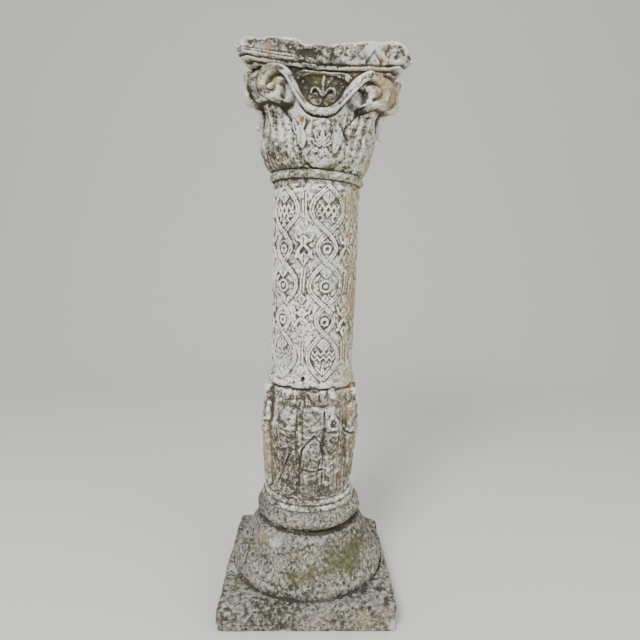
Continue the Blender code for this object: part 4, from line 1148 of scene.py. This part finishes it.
# The bed follows the leaning top of the shaft
relative = capital_lean - shaft_lean
bed_level = grid_reach * np.sin(grid_turn) * np.sin(relative) + 0.0005
grid_up = np.where(grid_up < 0.009, bed_level + (grid_up / 0.009) * (0.009 - bed_level), grid_up)
points = np.concatenate([around(grid_reach, grid_turn, grid_up),
                         [[0, 0, 0.0005], [0, 0, slab_middle]]])
capital = add_piece("capital", leaning(points, capital_lean) + neck_centre,
                    closed_grid(len(grid_reach), capital_columns))


def softened(values, turns):
    """A share of the carved rings, averaged with its neighbours, and 0 on the top's own rings."""
    return per_point(settle(np.concatenate([values, np.zeros(top_reach.shape)]), turns))


# Paint: painted shade in the undercuts, a darker abacus and volutes, algae in the shells, and two pale
# leaves
fine = settle(grid_reach.copy(), 4) - grid_reach
deep = settle(grid_reach.copy(), 14) - grid_reach
fine[len(reach):] = deep[len(reach):] = 0.0
fine, deep = per_point(fine) / 0.0016, per_point(deep) / 0.0055
wall_mask = softened(wall, 2)
lost_patch = spot(points, (-0.024, -0.130, 0.204), (0.034, 0.06, 0.026))
# Painted shade in the carving's fine and deep undercuts, with less of it on the cut-back wall and the
# broken patch
shade_kept = 1 - 0.5 * wall_mask - 0.45 * lost_patch
paint(capital, "hollow", (0.8 * np.clip(fine, 0, 1) + 0.5 * np.clip(deep, 0, 1)) * shade_kept)
high = points[:, 2]
on_slab = smooth_step(0.190, 0.200, high)
recess_share = recess * (1.0 - scroll_eye) * np.where(signed < 0, 1.4, 0.8)
shell_mask = softened(inside_shell * 1.0, 3) + 1.3 * softened(recess_share, 2)
right = smooth_step(0.02, 0.10, points[:, 0])
volute_part = between(high, 0.125, 0.140, 0.185, 0.195)
low_left = smooth_step(0.085, 0.045, high) * smooth_step(0.0, -0.03, points[:, 0])
# Tone: darker on the abacus, on the volutes and at the lower left, lighter on the cut-back wall and
# the broken patch
tone_shift = -0.65 * on_slab - 0.95 * volute_part + 0.05 - 0.35 * low_left
# The tone also has painted light and shade: darker in the undercuts, lighter on what stands out
paint(capital, "tone_and_relief_shade", tone_shift + 0.5 * wall_mask + 0.3 * lost_patch - 0.7 * fine - 0.4 * deep)
paint(capital, "algae", 0.05 + 0.35 * layered(points, 0.045, 2, 471) + 0.18 * shell_mask
      + 0.30 * smooth_step(0.222, 0.236, high) + 0.30 * smooth_step(0.045, 0.028, high))
paint(capital, "pale", 0.12 + 0.35 * layered(points, 0.035, 2, 481) + 0.25 * on_slab
      + 0.30 * wall_mask
      + spots(points, ((0.75, (-0.033, -0.115, 0.080), (0.026, 0.05, 0.038)),
                       (0.55, (0.038, -0.115, 0.080), (0.020, 0.05, 0.038)),
                       (0.80, (-0.145, -0.14, 0.222), (0.026, 0.05, 0.024)),
                       (0.25, (0.105, -0.15, 0.226), (0.050, 0.05, 0.020)))))
paint(capital, "warm", 0.45 * layered(points, 0.05, 2, 491) + 0.40 * right * (1 - on_slab))
paint(capital, "lichen", spot(points, (-0.033, -0.112, 0.107), (0.0055, 0.03, 0.0075), 0.5))
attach(capital, "root")
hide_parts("capital")
capital.data.materials.append(weathered_limestone("weathered limestone of the capital", "E0DED4",
                                                  "928F80", "403C30", "66623F"))


# The studio: a plain pale floor that curves up far behind into the backdrop, a soft light from
# the upper left, a weaker one from the right, and the camera where the photographer stood, a
# little above the middle.

def add_floor(side, height):
    """A strip of paper: flat, then a quarter circle up behind, then upright."""
    angle = np.radians(np.linspace(-90, 0, 25))
    bend, rear = 1.6, 1.6
    along = np.concatenate([[-side], rear + bend * np.cos(angle), [rear + bend]])
    rise = np.concatenate([[0.0], bend + bend * np.sin(angle), [side]]) + height
    left = np.stack([np.full(len(along), -side), along, rise], 1)
    right = left * [-1, 1, 1]
    count = len(along)
    strips = [(i, i + count, i + 1 + count, i + 1) for i in range(count - 1)]
    floor = add_piece("floor", np.concatenate([left, right]), strips)
    material = bpy.data.materials.new("matt pale paper")
    material.use_nodes = True
    paper = material.node_tree.nodes["Principled BSDF"]
    paper.inputs["Base Color"].default_value = linear("E4E2DC")
    paper.inputs["Roughness"].default_value = 0.95
    floor.data.materials.append(material)


def add_light(name, place, target, size, power):
    """Adds a round area light that faces its target."""
    data = bpy.data.lights.new(name, "AREA")
    data.shape = "DISK"
    data.size = size
    data.energy = power
    lamp = bpy.data.objects.new(name, data)
    bpy.context.scene.collection.objects.link(lamp)
    lamp.location = place
    lamp.rotation_euler = (Vector(target) - Vector(place)).to_track_quat("-Z", "Y").to_euler()


add_floor(6.0, base_low[2] - 0.0005)
add_light("key", (-0.9, -1.9, 2.4), (0.0, 0.0, 0.6), 1.0, 70)
add_light("fill", (1.9, -1.6, 1.1), (0.0, 0.0, 0.5), 1.8, 22)
world = bpy.data.worlds.new("studio")
world.use_nodes = True
world.node_tree.nodes["Background"].inputs["Color"].default_value = linear("E6E8EA")
world.node_tree.nodes["Background"].inputs["Strength"].default_value = 0.85
bpy.context.scene.world = world

eye = Vector((-0.0035, -1.0142, 0.6907))
pitch_down, turn_right, roll = np.radians([6.41, 1.3, 0.9])
sensor_width, focal_share = 36.0, 481.0 / 640.0
camera_data = bpy.data.cameras.new("camera")
camera_data.sensor_width = sensor_width
camera_data.lens = sensor_width * focal_share
camera = bpy.data.objects.new("camera", camera_data)
bpy.context.scene.collection.objects.link(camera)
facing = (Matrix.Rotation(-turn_right, 4, "Z") @ Matrix.Rotation(np.pi / 2 - pitch_down, 4, "X")
          @ Matrix.Rotation(roll, 4, "Z"))
camera.matrix_world = Matrix.Translation(eye) @ facing
bpy.context.scene.camera = camera
